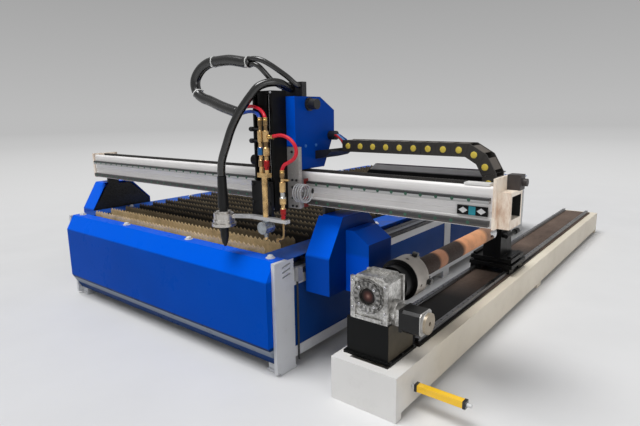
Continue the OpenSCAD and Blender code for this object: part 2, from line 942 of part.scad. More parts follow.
module x_rack() {
    outline = rack_outline(beam_x0 + 40, beam_x1 - 30, x_motor_x, -x_rack_tip, -x_rack_y);
    color("dimgray")
        translate([0, 0, beam_top])
            mirror([0, 1, 0])
                linear_extrude(x_rack_h)
                    polygon(outline);
}

function foot_path(t) = [
    [foot_y0 + t, foot_low], [foot_y0 + t, foot_bend - t * 0.3],
    [foot_y0 + foot_front_run + t * 0.6, foot_top - t], [foot_y1 - foot_back_run - t * 0.6, foot_top - t],
    [foot_y1 - t, foot_back_bend - t * 0.3], [foot_y1 - t, foot_low]
];

module foot() {
    hole = motor_w + 12;
    difference() {
        union() {
            difference() {
                prism_x(foot_x0, foot_x1, foot_path(0));
                prism_x(foot_x0 - 1, foot_x1 - sheet, concat(
                    [[foot_y1 - sheet, foot_low - 1], [foot_y0 + sheet, foot_low - 1]], foot_path(sheet)));
            }
        }
        block(foot_x0 - 1, plate_x1 + 4, foot_y0 + foot_front_run - 10, foot_y1 - foot_back_run + 10,
              foot_top - 2 * sheet, foot_top + 1);
        block(foot_x1 - 2 * sheet, foot_x1 + 1, drive_y - hole / 2, drive_y + hole / 2,
              pinion_z - hole / 2, pinion_z + hole / 2);
    }
}

module foot_right() {
    color("royalblue")
        foot();
}

module foot_left() {
    color("royalblue")
        left_side()
            foot();
}

module drive_cover() {
    y0 = drive_y - drive_cover_d / 2;
    y1 = drive_y + drive_cover_d / 2;
    x1 = drive_cover_x1;
    outer = [
        [foot_x1, drive_cover_low], [x1, drive_cover_low], [x1, drive_cover_top - chamfer_z],
        [x1 - chamfer_x, drive_cover_top], [foot_x1, drive_cover_top]
    ];
    inner = [
        [foot_x1 - 1, drive_cover_low + sheet], [x1 - sheet, drive_cover_low + sheet],
        [x1 - sheet, drive_cover_top - chamfer_z - sheet / 2],
        [x1 - chamfer_x - sheet / 2, drive_cover_top - sheet], [foot_x1 - 1, drive_cover_top - sheet]
    ];
    difference() {
        prism_y(y0, y1, outer);
        prism_y(y0 + sheet, y1 - sheet, inner);
    }
}

module drive_cover_right() {
    color("royalblue")
        drive_cover();
}

module drive_cover_left() {
    color("royalblue")
        left_side()
            drive_cover();
}

module saddle() {
    i = plate_inset;
    top_y0 = beam_y + 66;
    outline = [
        [foot_y0 + sheet, foot_low + 6], [foot_y0 + sheet, foot_bend - 6],
        [foot_y0 + foot_front_run + i, foot_top - i], [top_y0, foot_top - i], [top_y0, beam_z],
        [beam_y1, beam_z], [beam_y1, foot_top - i], [foot_y1 - foot_back_run - i, foot_top - i],
        [foot_y1 - sheet, foot_back_bend - 6], [foot_y1 - sheet, foot_low + 6]
    ];
    difference() {
        union() {
            prism_x(plate_x0, plate_x1, outline);
            block(y_rail_x - block_w / 2, plate_x0, foot_y0 + 50, foot_y1 - 50, saddle_z, saddle_z + plate_t);
            block(plate_x1, foot_x1 - 10, top_y0, beam_y1, beam_z - plate_t, beam_z);
        }
        rod_x(plate_x0 - 1, plate_x1 + 1, drive_y, pinion_z, shaft_d + 2 * running_gap);
    }
}

module saddles() {
    color("dimgray")
        both_sides()
            saddle();
}

module y_blocks() {
    g = rail_w / 2 + slide_gap;
    color("silver")
        both_sides()
            for (y = [foot_y0 + 56, foot_y1 - 56 - block_l])
                difference() {
                    block(y_rail_x - block_w / 2, y_rail_x + block_w / 2, y, y + block_l,
                          side_top + block_lift, saddle_z);
                    block(y_rail_x - g, y_rail_x + g, y - 1, y + block_l + 1,
                          side_top, side_top + rail_h + slide_gap);
                }
}

module y_motors() {
    h = motor_w / 2;
    color("black")
        both_sides() {
            block(plate_x1, plate_x1 + motor_flange, drive_y - h, drive_y + h, pinion_z - h, pinion_z + h);
            block(plate_x1 + motor_flange, plate_x1 + motor_l, drive_y - h + 3, drive_y + h - 3,
                  pinion_z - h + 3, pinion_z + h - 3);
        }
}

module y_pinion() {
    x0 = side_x + pinion_side;
    translate([x0, drive_y, pinion_z])
        rotate([0, 90, 0]) {
            rotate([0, 0, 180])
                pinion(pinion_w);
            translate([0, 0, pinion_w])
                cylinder(d = shaft_d, h = plate_x1 - x0 - pinion_w - running_gap);
        }
}

module y_pinion_right() {
    color("gray")
        y_pinion();
}

module y_pinion_left() {
    color("gray")
        left_side()
            y_pinion();
}

module cable_tray() {
    y0 = beam_y1;
    wall = [
        [tray_x0, tray_low], [tray_x1, tray_low], [tray_x1, tray_tall], [tray_slant_x1, tray_tall],
        [tray_slant_x0, tray_low + tray_wall], [tray_x0, tray_low + tray_wall]
    ];
    color("lightgray")
        union() {
            block(tray_x0, tray_x1, y0, tray_y1, tray_low, tray_low + sheet);
            block(tray_x0, tray_x1, y0, y0 + sheet, tray_low, beam_z + tray_hang);
            prism_y(tray_y1 - sheet, tray_y1, wall);
            block(tray_slant_x1, tray_x1, tray_y1, tray_y1 + tray_rim, tray_tall - sheet, tray_tall);
        }
}

// Turn of link i and place of its first pivot, counted from the carriage end
function chain_turn(i) = i < chain_upper_n ? 0 : min(180, (i - chain_upper_n + 1) * chain_step);
function chain_pivot(i) =
    i == 0 ? [chain_x0, chain_top_z]
    : chain_pivot(i - 1) + chain_pitch * [cos(chain_turn(i - 1)), -sin(chain_turn(i - 1))];

module chain_link() {
    l = chain_pitch - chain_gap;
    h = chain_h / 2;
    in_cut = 14;
    out_cut = 8;
    bar = 26;
    outline = [
        [-l / 2, 0], [-l / 2 + in_cut, -h], [l / 2 - in_cut, -h], [l / 2, 0],
        [l / 2, h - out_cut], [l / 2 - out_cut, h], [-l / 2 + out_cut, h], [-l / 2, h - out_cut]
    ];
    for (y = [0, chain_w - chain_plate])
        prism_y(y, y + chain_plate, outline);
    for (z = [-h, h - 5])
        block(-bar / 2, bar / 2, chain_plate, chain_w - chain_plate, z, z + 5);
}

module drag_chain() {
    color("black")
        for (i = [0 : chain_n - 1])
            let (p = (chain_pivot(i) + chain_pivot(i + 1)) / 2)
                translate([p[0], chain_y, p[1]])
                    rotate([0, chain_turn(i), 0])
                        chain_link();
}

// Carriage and lifter

module carriage_plate() {
    color("silver")
        difference() {
            union() {
                block(carriage_x0, carriage_x1, carriage_y0, carriage_y1, carriage_low, carriage_top);
                block(cover_x0 + sheet, cover_x1 - sheet, carriage_y1, cover_foot_y - 8,
                      bridge_z, bridge_z + bridge_t);
            }
            rod_z(bridge_z - 1, bridge_z + bridge_t + 1, x_motor_x, x_pinion_y, shaft_d + 2 * running_gap);
        }
}

module x_blocks() {
    g = rail_w / 2 + slide_gap;
    color("silver")
        for (x = x_block_xs, z = [lower_rail_z, upper_rail_z])
            difference() {
                block(x, x + x_block_l, carriage_y1, beam_y - block_lift - 3,
                      z - block_w / 2, z + block_w / 2);
                block(x - 1, x + x_block_l + 1, beam_y - rail_h - slide_gap, beam_y, z - g, z + g);
            }
}

function cover_path(t) = [
    [carriage_y0 + t, carriage_top + 2], [carriage_y0 + t, cover_top - t],
    [cover_shoulder_y - t / 2, cover_top - t], [cover_y1 - t, cover_top - cover_shoulder_z - t / 2],
    [cover_y1 - t, cover_waist_z + t / 2], [cover_foot_y - t, bridge_z]
];

module carriage_cover() {
    color("royalblue")
        difference() {
            prism_x(cover_x0, cover_x1, concat(
                cover_path(0), [[carriage_y1 + 2, bridge_z], [carriage_y1 + 2, carriage_top + 2]]));
            prism_x(cover_x0 + sheet, cover_x1 - sheet, concat(
                cover_path(sheet), [[cover_foot_y - sheet, bridge_z - 1], [carriage_y1 + 1, bridge_z - 1],
                [carriage_y1 + 1, carriage_top + 1], [carriage_y0 + sheet, carriage_top + 1]]));
        }
}

module x_motor() {
    h = motor_w / 2;
    z0 = bridge_z + bridge_t;
    color("black") {
        block(x_motor_x - h, x_motor_x + h, x_pinion_y - h, x_pinion_y + h, z0, z0 + motor_flange);
        block(x_motor_x - h + 3, x_motor_x + h - 3, x_pinion_y - h + 3, x_pinion_y + h - 3,
              z0 + motor_flange, z0 + x_motor_h);
    }
}

module x_pinion() {
    z0 = beam_top + 2;
    color("gray")
        translate([x_motor_x, x_pinion_y, z0]) {
            rotate([0, 0, -90])
                pinion(pinion_w);
            translate([0, 0, pinion_w])
                cylinder(d = shaft_d, h = bridge_z + bridge_t - z0 - pinion_w - running_gap);
        }
}

// Round connector, bracket and wires of the cable chain, and the block where the hoses end
module cover_fittings() {
    z = cover_top - 32;
    y = carriage_y0 + 92;
    bracket_y = carriage_y0 + 130;
    gland_x = cover_x1 + 36;
    gland_y = carriage_y0 + 238;
    gland_z = chain_top_z + 43;
    end_x = chain_x0 - 2;
    low = chain_top_z - chain_h / 2;
    color("black") {
        rod_x(cover_x1, cover_x1 + 8, y, z, 56);
        rod_x(cover_x1 + 8, cover_x1 + 46, y, z, 44);
        prism_y(bracket_y, chain_y + chain_w, [
            [cover_x1, low - 30], [end_x - 30, low - 18], [end_x, low + 4], [end_x, low + 16],
            [cover_x1, low + 6]
        ]);
        block(cover_x1 - 118, cover_x1 - 2, hose_block_y, hose_block_y + 28, cover_top, cover_top + 60);
        rod_x(cover_x1, gland_x, gland_y, gland_z, 40);
        for (i = [0 : 2])
            tube([
                [gland_x, gland_y - 12 + 12 * i, gland_z],
                [gland_x + 10, gland_y - 12 + 12 * i, gland_z],
                [gland_x + 30, chain_y + 23 + 18 * i, gland_z - 20],
                [end_x - 8, chain_y + 24 + 20 * i, chain_top_z + 4],
                [end_x, chain_y + 24 + 20 * i, chain_top_z + 2]
            ], lead_wire_d, 8);
    }
}

// Loops of the coiled cord: a helix about X between two straight ends
function coil_route() =
    let (turns = coil_turns * 24, x0 = carriage_x1 + 2 * coil_tube)
    concat(
        [for (x = [carriage_x1 + running_gap, carriage_x1 + coil_tube]) [x, coil_y + coil_r, coil_z]],
        [for (i = [0 : turns])
            let (a = 360 * i / 24)
            [x0 + coil_pitch * i / 24, coil_y + coil_r * cos(a), coil_z + coil_r * sin(a)]]
    );

module coil_cord() {
    color("white")
        tube(coil_route(), coil_tube, 6);
    echo(coil_self_gap = coil_pitch - coil_tube);
}

module z_column() {
    x0 = column_x0;
    x1 = column_x1;
    y0 = column_y0;
    y1 = carriage_y0;
    w = column_wall;
    color("black")
        difference() {
            union() {
                block(x0, x1, y1 - w, y1, column_z, column_top);
                block(x0, x0 + w, y0, y1, column_z, column_top);
                block(x1 - w, x1, y0, y1, column_z, column_top);
                block(x0, x1, y0, y1, column_z, column_z + cap_t);
                block(x0, x1, y0, y1, column_top - cap_t, column_top);
                block(column_mid - strip_w / 2, column_mid + strip_w / 2, y0, y0 + strip_t,
                      column_z, column_top);
                for (x = [column_mid - rod_out, column_mid + rod_out])
                    rod_z(column_z, column_top, x, screw_y, rod_d);
                rod_x(x0 - 35, x0, column_y0 + 30, column_z + 209, 44);
                rod_x(x0 - 22, x0, column_y0 + 30, column_z + 310, 20);
                block(x0 - 14, x0, column_y0 + 12, column_y0 + 48, column_z + 286, column_z + 334);
            }
            rod_z(column_z + 4, column_top - 4, column_mid, screw_y, screw_d + 2 * running_gap);
        }
}

module z_screw() {
    color("silver")
        rod_z(column_z + 4 + running_gap, column_top - 4 - running_gap, column_mid, screw_y, screw_d);
}

// Stretch of the arm from the torch to the bar
module torch_arm(from, to) {
    translate([torch_x, torch_y, bar_z])
        rotate([0, 0, tilt])
            translate([from, -bar_d / 2, 0])
                cube([to - from, bar_d, bar_t]);
}

// Nut block inside the column, its arms, the front plate and the bar that carries the torches
module torch_bar() {
    a = arm_x;
    color("silver")
        difference() {
            union() {
                block(column_mid - nut_w / 2, column_mid + nut_w / 2,
                      screw_y - nut_d / 2, screw_y + nut_d / 2, nut_z, nut_z + nut_h);
                for (s = [-1, 1])
                    block(column_mid + s * a - arm_w / 2, column_mid + s * a + arm_w / 2,
                          front_plate_y0, screw_y, nut_z + 10, nut_z + nut_h - 10);
                block(column_mid - column_w / 2, column_mid + column_w / 2, front_plate_y0, front_plate_y1,
                      bar_z, nut_z + nut_h);
                block(column_mid - 30, column_mid + 30, bar_y, front_plate_y0, bar_z, bar_z + bar_t);
                block(bar_x0, bar_x1, bar_y - bar_d / 2, bar_y + bar_d / 2, bar_z, bar_z + bar_t);
                torch_arm(clamp_reach, tilt_l + 8);
            }
            rod_z(nut_z - 1, nut_z + nut_h + 1, column_mid, screw_y, screw_d + 2 * slide_gap);
            for (x = [column_mid - rod_out, column_mid + rod_out])
                rod_z(nut_z - 1, nut_z + nut_h + 1, x, screw_y, rod_d + 2 * slide_gap);
        }
}

module torch_clamp() {
    z0 = bar_z - clamp_drop;
    z1 = z0 + flange_h;
    z2 = bar_z + bar_t + 6;
    color("lightgray")
        difference() {
            union() {
                rod_z(z0, z1, torch_x, torch_y, flange_d);
                rod_z(z1, z2, torch_x, torch_y, collar_d);
                rod_z(z1 + 8, z1 + 16, torch_x, torch_y, collar_d + 8);
                rod_z(z2, z2 + 8, torch_x, torch_y, collar_d - 22);
                torch_arm(collar_d / 2 - 12, clamp_reach);
            }
            rod_z(z0 - 1, z2 + 9, torch_x, torch_y, torch_d + 2 * seat_gap);
            block(torch_x - clamp_split / 2, torch_x + clamp_split / 2, torch_y - flange_d, torch_y,
                  z1 + 2, z2 + 9);
        }
}

module torch() {
    z1 = torch_z + nozzle_h;
    z2 = z1 + tube_h;
    color("black") {
        rod_z(torch_z, torch_z + 12, torch_x, torch_y, 10, 18);
        rod_z(torch_z + 12, z1, torch_x, torch_y, 22, torch_d);
        rod_z(z1, z2, torch_x, torch_y, torch_d);
        rod_z(z2, z2 + handle_h, torch_x, torch_y, relief_d, lead_d + 4);
    }
}

// One gas valve of stacked nuts and barrels on its foot at z
module valve_stack(h) {
    rotate_extrude()
        polygon([
            [0, 0], [9, 0], [9, h * 0.1], [12, h * 0.12], [12, h * 0.24], [8, h * 0.26], [8, h * 0.32],
            [13, h * 0.34], [13, h * 0.48], [9, h * 0.5], [9, h * 0.58], [12, h * 0.6], [12, h * 0.8],
            [7, h * 0.82], [7, h * 0.9], [9, h * 0.91], [9, h], [0, h]
        ]);
}

module flame_torch() {
    z0 = bar_z + bar_t;
    z1 = z0 + flame_h;
    color("goldenrod")
        union() {
            rod_z(z0, z1, flame_x, bar_y, flame_d);
            block(flame_x - 28, flame_x + 28, bar_y - 13, bar_y + 13, z1, z1 + 18);
            for (s = [-1, 1])
                translate([flame_x + s * valve_out, bar_y, z1 + 18])
                    valve_stack(valve_h - 18);
            rod_x(flame_x + valve_out + 6, flame_x + 30, bar_y, bar_z + 342, hose_d - 4);
        }
    color("goldenrod")
        union() {
            rod_y(bar_y - 26, bar_y + 26, flame_x, bar_z - 30, 52);
            rod_z(bar_z - 12, bar_z, flame_x, bar_y, 26);
            rod_z(bar_z - 82, bar_z - 50, flame_x, bar_y, 14, 22);
        }
}

module gas_tee() {
    z0 = bar_z + bar_t;
    elbow = 20;
    drop = 50;
    d = 9;
    color("goldenrod") {
        translate([tee_x, bar_y, z0])
            valve_stack(tee_h - 13);
        rod_x(tee_x + 5, tee_x + 34, bar_y, z0 + (tee_h - 13) * 0.86, 9);
    }
    color("goldenrod")
        union() {
            rod_z(bar_z - drop, bar_z, tee_x, bar_y, d);
            translate([tee_x - elbow, bar_y, bar_z - drop])
                rotate([-90, 0, 0])
                    rotate_extrude(angle = 90)
                        translate([elbow, 0])
                            circle(d = d);
            rod_x(tee_x - elbow - 14, tee_x - elbow, bar_y, bar_z - drop - elbow, d);
            rod_z(bar_z - drop - elbow - 14, bar_z - drop - elbow, tee_x - elbow - 14, bar_y, 16);
        }
}

// Hoses

module hose_bundle() {
    color("black") {
        tube(bundle_route, bundle_d, 12);
        tube(low_strand_route, strand_d, 8);
        tube(high_strand_route, strand_d, 8);
    }
}

module torch_lead() {
    color("black")
        tube(lead_route, lead_d, 12);
}

module gas_hoses() {
    color("red") {
        tube(red_route, hose_d, 8);
        tube(red_link_route, hose_d, 8);
    }
    color("blue")
        tube(blue_route, hose_d, 8);
}

// Rotary chuck and tailstock

module about_pipe(angle) {
    translate([pipe_x, 0, pipe_z])
        rotate([0, -angle, 0])
            children();
}

module chuck() {
    r = chuck_d / 2;
    y0 = gear_y0 + 6;
    color("gray")
        difference() {
            union() {
                rod_y(chuck_y, chuck_face, pipe_x, pipe_z, chuck_d);
                rod_y(chuck_y - hub_l, chuck_y, pipe_x, pipe_z, hub_d);
                rod_y(y0, chuck_y - hub_l, pipe_x, pipe_z, spindle_d);
                rod_y(gear_y0 - 4, gear_y0 + 8 - running_gap, pipe_x, pipe_z, bore_d - 8);
            }
            rod_y(chuck_face - 40, chuck_face + 1, pipe_x, pipe_z, chuck_bore);
            for (i = [0 : 3])
                about_pipe(jaw_angle + 90 * i) {
                    block(chuck_bore / 2 - 4, r + 1, chuck_face - jaw_slot, chuck_face + 1,
                          -jaw_w / 2 - slide_gap, jaw_w / 2 + slide_gap);
                    rod_x(r - 24, r + 1, chuck_y + chuck_l / 2 - 12, 0, 15);
                }
        }
}

// Stepped jaw with its inner face on the pipe
module jaw(i) {
    r0 = pipe_d / 2 + running_gap;
    low = chuck_face - jaw_slot + slide_gap;
    outline = concat(
        [[r0, low], [r0, chuck_face + jaw_steps * jaw_step]],
        [for (k = [jaw_steps : -1 : 1]) each [
            [r0 + (jaw_steps - k + 1) * jaw_l / jaw_steps, chuck_face + k * jaw_step],
            [r0 + (jaw_steps - k + 1) * jaw_l / jaw_steps, chuck_face + (k - 1) * jaw_step]
        ]],
        [[chuck_d / 2 - 6, chuck_face], [chuck_d / 2 - 6, low]]
    );
    about_pipe(jaw_angle + 90 * (i - 1))
        translate([0, 0, -jaw_w / 2])
            linear_extrude(jaw_w)
                polygon(outline);
}

module jaw_1() {
    color("gray")
        jaw(1);
}

module jaw_2() {
    color("gray")
        jaw(2);
}

module jaw_3() {
    color("gray")
        jaw(3);
}

module jaw_4() {
    color("gray")
        jaw(4);
}

module pipe() {
    r = pipe_d / 2;
    color("peru")
        difference() {
            rod_y(pipe_y0, pipe_y1, pipe_x, pipe_z, pipe_d);
            rod_y(pipe_y0 - 1, pipe_y1 + 1, pipe_x, pipe_z, pipe_bore);
            block(pipe_x, pipe_x + r + 1, pipe_y1 - notch_l, pipe_y1 + 1, pipe_z - r * 0.3, pipe_z + r * 0.5);
        }
}

// Slide on four bearing blocks, stacked plates, body with the quill and a clamp lever on its right
module tailstock() {
    y0 = tail_y;
    y1 = tail_y + tail_base_d;
    x0 = pipe_x - tail_base_w / 2;
    x1 = pipe_x + tail_base_w / 2;
    g = rail_w / 2 + slide_gap;
    plate_top = tail_plate_z + tail_plate_t;
    upper = plate_top + 12;
    stack_top = upper + 22;
    lever_x = pipe_x + 80;
    lever_z = pipe_z - 26;
    color("black")
        difference() {
            union() {
                for (x = tail_rail_xs, y = [y0 + 8, y1 - 78])
                    block(x - 22, x + 22, y, y + 70, tail_block_z, tail_plate_z);
                block(x0, x1, y0, y1, tail_plate_z, plate_top);
                block(x0 + 22, x1 - 22, y0 + 12, y1 - 12, plate_top, upper);
                block(x0 + 6, x1 - 6, y0 + 6, y1 - 26, upper, stack_top);
                for (x = [x0 + 14, x1 - 34])
                    block(x, x + 20, y0 + 20, y1 - 60, stack_top, stack_top + 14);
                prism_x(pipe_x - 48, pipe_x + 52, [
                    [y0 + 10, stack_top], [y1 - 40, stack_top], [y1 - 76, pipe_z - 30],
                    [y0 + 110, pipe_z + 30], [y0 + 92, pipe_z + 42], [y0 + 10, pipe_z + 42]
                ]);
                rod_y(y0 - sleeve_l, y0 + 10, pipe_x, pipe_z, sleeve_d);
                rod_y(y0 - 16, y0 + 10, pipe_x, pipe_z, sleeve_d + 16);
                rod_x(pipe_x + 52, lever_x, y0 + 40, lever_z, 34);
                rod_y(y0 + 4, y0 + 170, lever_x, lever_z, 22);
                rod_y(y0 + 150, y0 + 200, lever_x, lever_z, 32);
                rod_z(pipe_z + 42, pipe_z + 58, pipe_x, y0 + 50, 30);
            }
            for (x = tail_rail_xs)
                block(x - g, x + g, y0 - 1, y1 + 1, bed_top, bed_top + rail_h + slide_gap);
            rod_y(y0 - sleeve_l - 1, y0 + 50, pipe_x, pipe_z, center_shaft + 2 * running_gap);
        }
}

module tail_center() {
    y1 = center_y + center_l;
    color("silver")
        union() {
            rod_y(center_y, y1, pipe_x, pipe_z, center_tip, center_d);
            rod_y(y1, tail_y + 50 - running_gap, pipe_x, pipe_z, center_shaft);
        }
}

placed() {
    legs();
    frame_beams();
    side_panels();
    front_cover();
    top_border();
    slats();
    slat_combs();
    tray();
    y_rails();
    y_racks();
    limit_switch();
    bed_beams();
    bed_ends();
    bed_plate();
    bed_rails();
    pedestal();
    gearbox();
    rotary_motor();
    light_bar();
    beam();
    beam_ends();
    end_connector();
    x_rails();
    x_rack();
    foot_right();
    foot_left();
    drive_cover_right();
    drive_cover_left();
    saddles();
    y_blocks();
    y_motors();
    cable_tray();
    drag_chain();
    y_pinion_right();
    y_pinion_left();
    x_pinion();
    carriage_plate();
    x_blocks();
    carriage_cover();
    x_motor();
    cover_fittings();
    coil_cord();
    z_column();
    z_screw();
    torch_bar();
    torch_clamp();
    torch();
    flame_torch();
    gas_tee();
    hose_bundle();
    torch_lead();
    gas_hoses();
    chuck();
    pipe();
    jaw_1();
    jaw_2();
    jaw_3();
    jaw_4();
    tailstock();
    tail_center();
}
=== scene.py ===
"""Looks of the plasma cutting table: materials, hoses, cable chain, fasteners, floor, light and camera."""
import math

import bmesh
import bpy
from mathutils import Matrix, Vector


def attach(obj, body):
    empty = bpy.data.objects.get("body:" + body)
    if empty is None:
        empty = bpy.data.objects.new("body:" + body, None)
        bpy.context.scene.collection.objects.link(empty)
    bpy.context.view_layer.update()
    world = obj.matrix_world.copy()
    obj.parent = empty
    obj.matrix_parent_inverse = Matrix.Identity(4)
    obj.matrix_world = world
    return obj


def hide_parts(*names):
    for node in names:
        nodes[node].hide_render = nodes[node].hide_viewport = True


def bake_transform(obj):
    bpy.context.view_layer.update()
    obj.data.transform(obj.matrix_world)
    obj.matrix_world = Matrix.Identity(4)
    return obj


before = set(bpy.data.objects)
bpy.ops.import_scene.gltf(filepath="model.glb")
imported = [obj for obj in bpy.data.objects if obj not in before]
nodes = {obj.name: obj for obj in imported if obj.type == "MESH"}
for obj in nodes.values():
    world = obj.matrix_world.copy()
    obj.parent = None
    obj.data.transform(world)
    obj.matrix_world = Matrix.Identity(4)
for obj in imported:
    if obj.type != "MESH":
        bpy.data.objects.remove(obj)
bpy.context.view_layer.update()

# The construction is in millimetres, the row frame in metres with an origin of its own

X, Y, Z = 0, 1, 2
ORIGIN = (-550.0, 1803.0, 0.0)
PIPE_X, PIPE_Z = 420.0, 432.0


def row(axis, value):
    """Coordinate of the construction to the row frame."""
    return (value - ORIGIN[axis]) / 1000


def at(x, y, z):
    """Point of the construction to the row frame."""
    return Vector((row(X, x), row(Y, y), row(Z, z)))


# Camera at the photograph's place

PHOTO_WIDTH, FOCAL_PIXELS, SENSOR = 640, 501.6, 36
CAMERA_PLACE = (1386, -1380, 1108)
YAW, PITCH, ROLL = math.radians(38.55), math.radians(11.41), math.radians(-0.81)
camera_data = bpy.data.cameras.new("camera")
camera_data.sensor_fit = "HORIZONTAL"
camera_data.sensor_width = SENSOR
camera_data.lens = FOCAL_PIXELS / PHOTO_WIDTH * SENSOR
camera_data.clip_end = 200
camera = bpy.data.objects.new("camera", camera_data)
bpy.context.scene.collection.objects.link(camera)
camera.matrix_world = (
    Matrix.Translation(at(*CAMERA_PLACE))
    @ Matrix.Rotation(YAW, 4, "Z")
    @ Matrix.Rotation(math.pi / 2 - PITCH, 4, "X")
    @ Matrix.Rotation(ROLL, 4, "Z")
)
bpy.context.scene.camera = camera

# Materials

OFF, ON = (0, 0, 0), (1, 1, 1)
DUST, SOIL, TARNISH = (0.2, 0.17, 0.14), (0.02, 0.02, 0.02), (0.06, 0.035, 0.015)


def grey(value):
    return (value, value, value)


class Shader:
    """A procedural material built on one Principled shader, in object coordinates."""

    def __init__(self, name):
        self.material = bpy.data.materials.new(name)
        self.material.use_nodes = True
        self.tree = self.material.node_tree
        self.bsdf = self.tree.nodes["Principled BSDF"]
        self.coords = self.tree.nodes.new("ShaderNodeTexCoord")

    def node(self, kind, **values):
        n = self.tree.nodes.new(kind)
        for key, value in values.items():
            setattr(n, key, value)
        return n

    def link(self, a, b):
        self.tree.links.new(a, b)

    def noise(self, scale, detail=4, stretch=(1, 1, 1), roughness=0.55):
        m = self.node("ShaderNodeMapping")
        m.inputs["Scale"].default_value = stretch
        self.link(self.coords.outputs["Object"], m.inputs["Vector"])
        n = self.node("ShaderNodeTexNoise")
        n.inputs["Scale"].default_value = scale
        n.inputs["Detail"].default_value = detail
        n.inputs["Roughness"].default_value = roughness
        self.link(m.outputs["Vector"], n.inputs["Vector"])
        return n.outputs["Fac"]

    def ramp(self, fac, stops, constant=False):
        r = self.node("ShaderNodeValToRGB")
        r.color_ramp.interpolation = "CONSTANT" if constant else "LINEAR"
        while len(r.color_ramp.elements) < len(stops):
            r.color_ramp.elements.new(0.5)
        for element, (place, colour) in zip(r.color_ramp.elements, stops):
            element.position = place
            element.color = (*colour, 1)
        self.link(fac, r.inputs["Fac"])
        return r.outputs["Color"]

    def mix(self, fac, a, b, how="MIX"):
        m = self.node("ShaderNodeMix", data_type="RGBA", blend_type=how)
        if isinstance(fac, float):
            m.inputs[0].default_value = fac
        else:
            self.link(fac, m.inputs[0])
        for socket, value in ((m.inputs[6], a), (m.inputs[7], b)):
            if isinstance(value, tuple):
                socket.default_value = (*value, 1)
            else:
                self.link(value, socket)
        return m.outputs[2]

    def both(self, a, b):
        return self.mix(1.0, a, b, "MULTIPLY")

    def span(self, fac, low, high, to_low, to_high):
        m = self.node("ShaderNodeMapRange")
        for key, value in zip(("From Min", "From Max", "To Min", "To Max"), (low, high, to_low, to_high)):
            m.inputs[key].default_value = value
        self.link(fac, m.inputs["Value"])
        return m.outputs["Result"]

    def calc(self, how, a, b=None):
        m = self.node("ShaderNodeMath", operation=how)
        self.link(a, m.inputs[0])
        if isinstance(b, float):
            m.inputs[1].default_value = b
        elif b is not None:
            self.link(b, m.inputs[1])
        return m.outputs[0]

    def axes(self):
        """The three coordinates of the row frame."""
        s = self.node("ShaderNodeSeparateXYZ")
        self.link(self.coords.outputs["Object"], s.inputs[0])
        return s.outputs

    def place(self, axis, low, high):
        """0 at low and 1 at high along one axis of the construction."""
        return self.span(self.axes()[axis], row(axis, low), row(axis, high), 0, 1)

    def inside(self, axis, low, high):
        """White between low and high along one axis of the construction, black elsewhere."""
        reach = high - low
        along = self.place(axis, low - reach, high + reach)
        return self.ramp(along, [(0.0, OFF), (1 / 3, ON), (2 / 3, OFF)], True)

    def around_pipe(self):
        """Distances to the right of and above the pipe's axis, and the radius round it, in metres."""
        axes = self.axes()
        right = self.calc("SUBTRACT", axes[X], row(X, PIPE_X))
        up = self.calc("SUBTRACT", axes[Z], row(Z, PIPE_Z))
        flat = self.node("ShaderNodeCombineXYZ")
        self.link(right, flat.inputs[0])
        self.link(up, flat.inputs[1])
        radius = self.node("ShaderNodeVectorMath", operation="LENGTH")
        self.link(flat.outputs[0], radius.inputs[0])
        return right, up, radius.outputs["Value"]

    def colour(self, socket):
        self.link(socket, self.bsdf.inputs["Base Color"])

    def roughness(self, fac, low, high):
        self.link(self.span(fac, 0.3, 0.7, low, high), self.bsdf.inputs["Roughness"])

    def bump(self, fac, strength, distance, edge):
        b = self.node("ShaderNodeBump")
        b.inputs["Strength"].default_value = strength
        b.inputs["Distance"].default_value = distance
        self.link(fac, b.inputs["Height"])
        e = self.node("ShaderNodeBevel")
        e.inputs["Radius"].default_value = edge
        self.link(e.outputs["Normal"], b.inputs["Normal"])
        self.link(b.outputs["Normal"], self.bsdf.inputs["Normal"])

    def fixed(self, **values):
        for key, value in values.items():
            self.bsdf.inputs[key.replace("_", " ")].default_value = value

    def broad(self, dark, light):
        """Broad changes between two tones."""
        return self.ramp(self.noise(1.6, 3), [(0.35, dark), (0.68, light)])

    def spray(self, tone, rough, specular, dust=DUST, amount=0.0, edge=0.0015):
        """Sprayed paint: faint orange peel and, where an amount is given, thin dust."""
        fine = self.noise(9, 6, roughness=0.7)
        if amount:
            tone = self.mix(self.span(fine, 0.52, 0.78, 0, amount), tone, dust)
        self.colour(tone)
        self.roughness(fine, *rough)
        self.bump(self.noise(420, 2), 0.06, 0.001, edge)
        self.fixed(Specular_IOR_Level=specular)

    def tarnish(self, tone, metallic):
        """Tarnished brass over a tone."""
        patches = self.noise(30, 5)
        self.colour(self.mix(self.span(patches, 0.42, 0.72, 0, 0.65), tone, TARNISH))
        self.roughness(patches, 0.14, 0.34)
        self.bump(self.noise(300, 3), 0.06, 0.0005, 0.0006)
        self.fixed(Metallic=metallic)

    def soil(self, tone, rough, metallic):
        """Dark soiled patches over a tone."""
        patches = self.noise(8, 5)
        self.colour(self.mix(self.span(patches, 0.5, 0.8, 0, 0.35), tone, SOIL))
        self.roughness(patches, *rough)
        self.bump(self.noise(240, 4), 0.06, 0.0006, 0.001)
        self.fixed(Metallic=metallic)


def paint(name, light, dark, rough, amount, specular, coat=0.0, dust=DUST):
    """Sprayed sheet metal with broad tone changes."""
    s = Shader(name)
    s.spray(s.broad(dark, light), rough, specular, dust, amount)
    s.fixed(Coat_Weight=coat, Coat_Roughness=0.12)
    return s.material


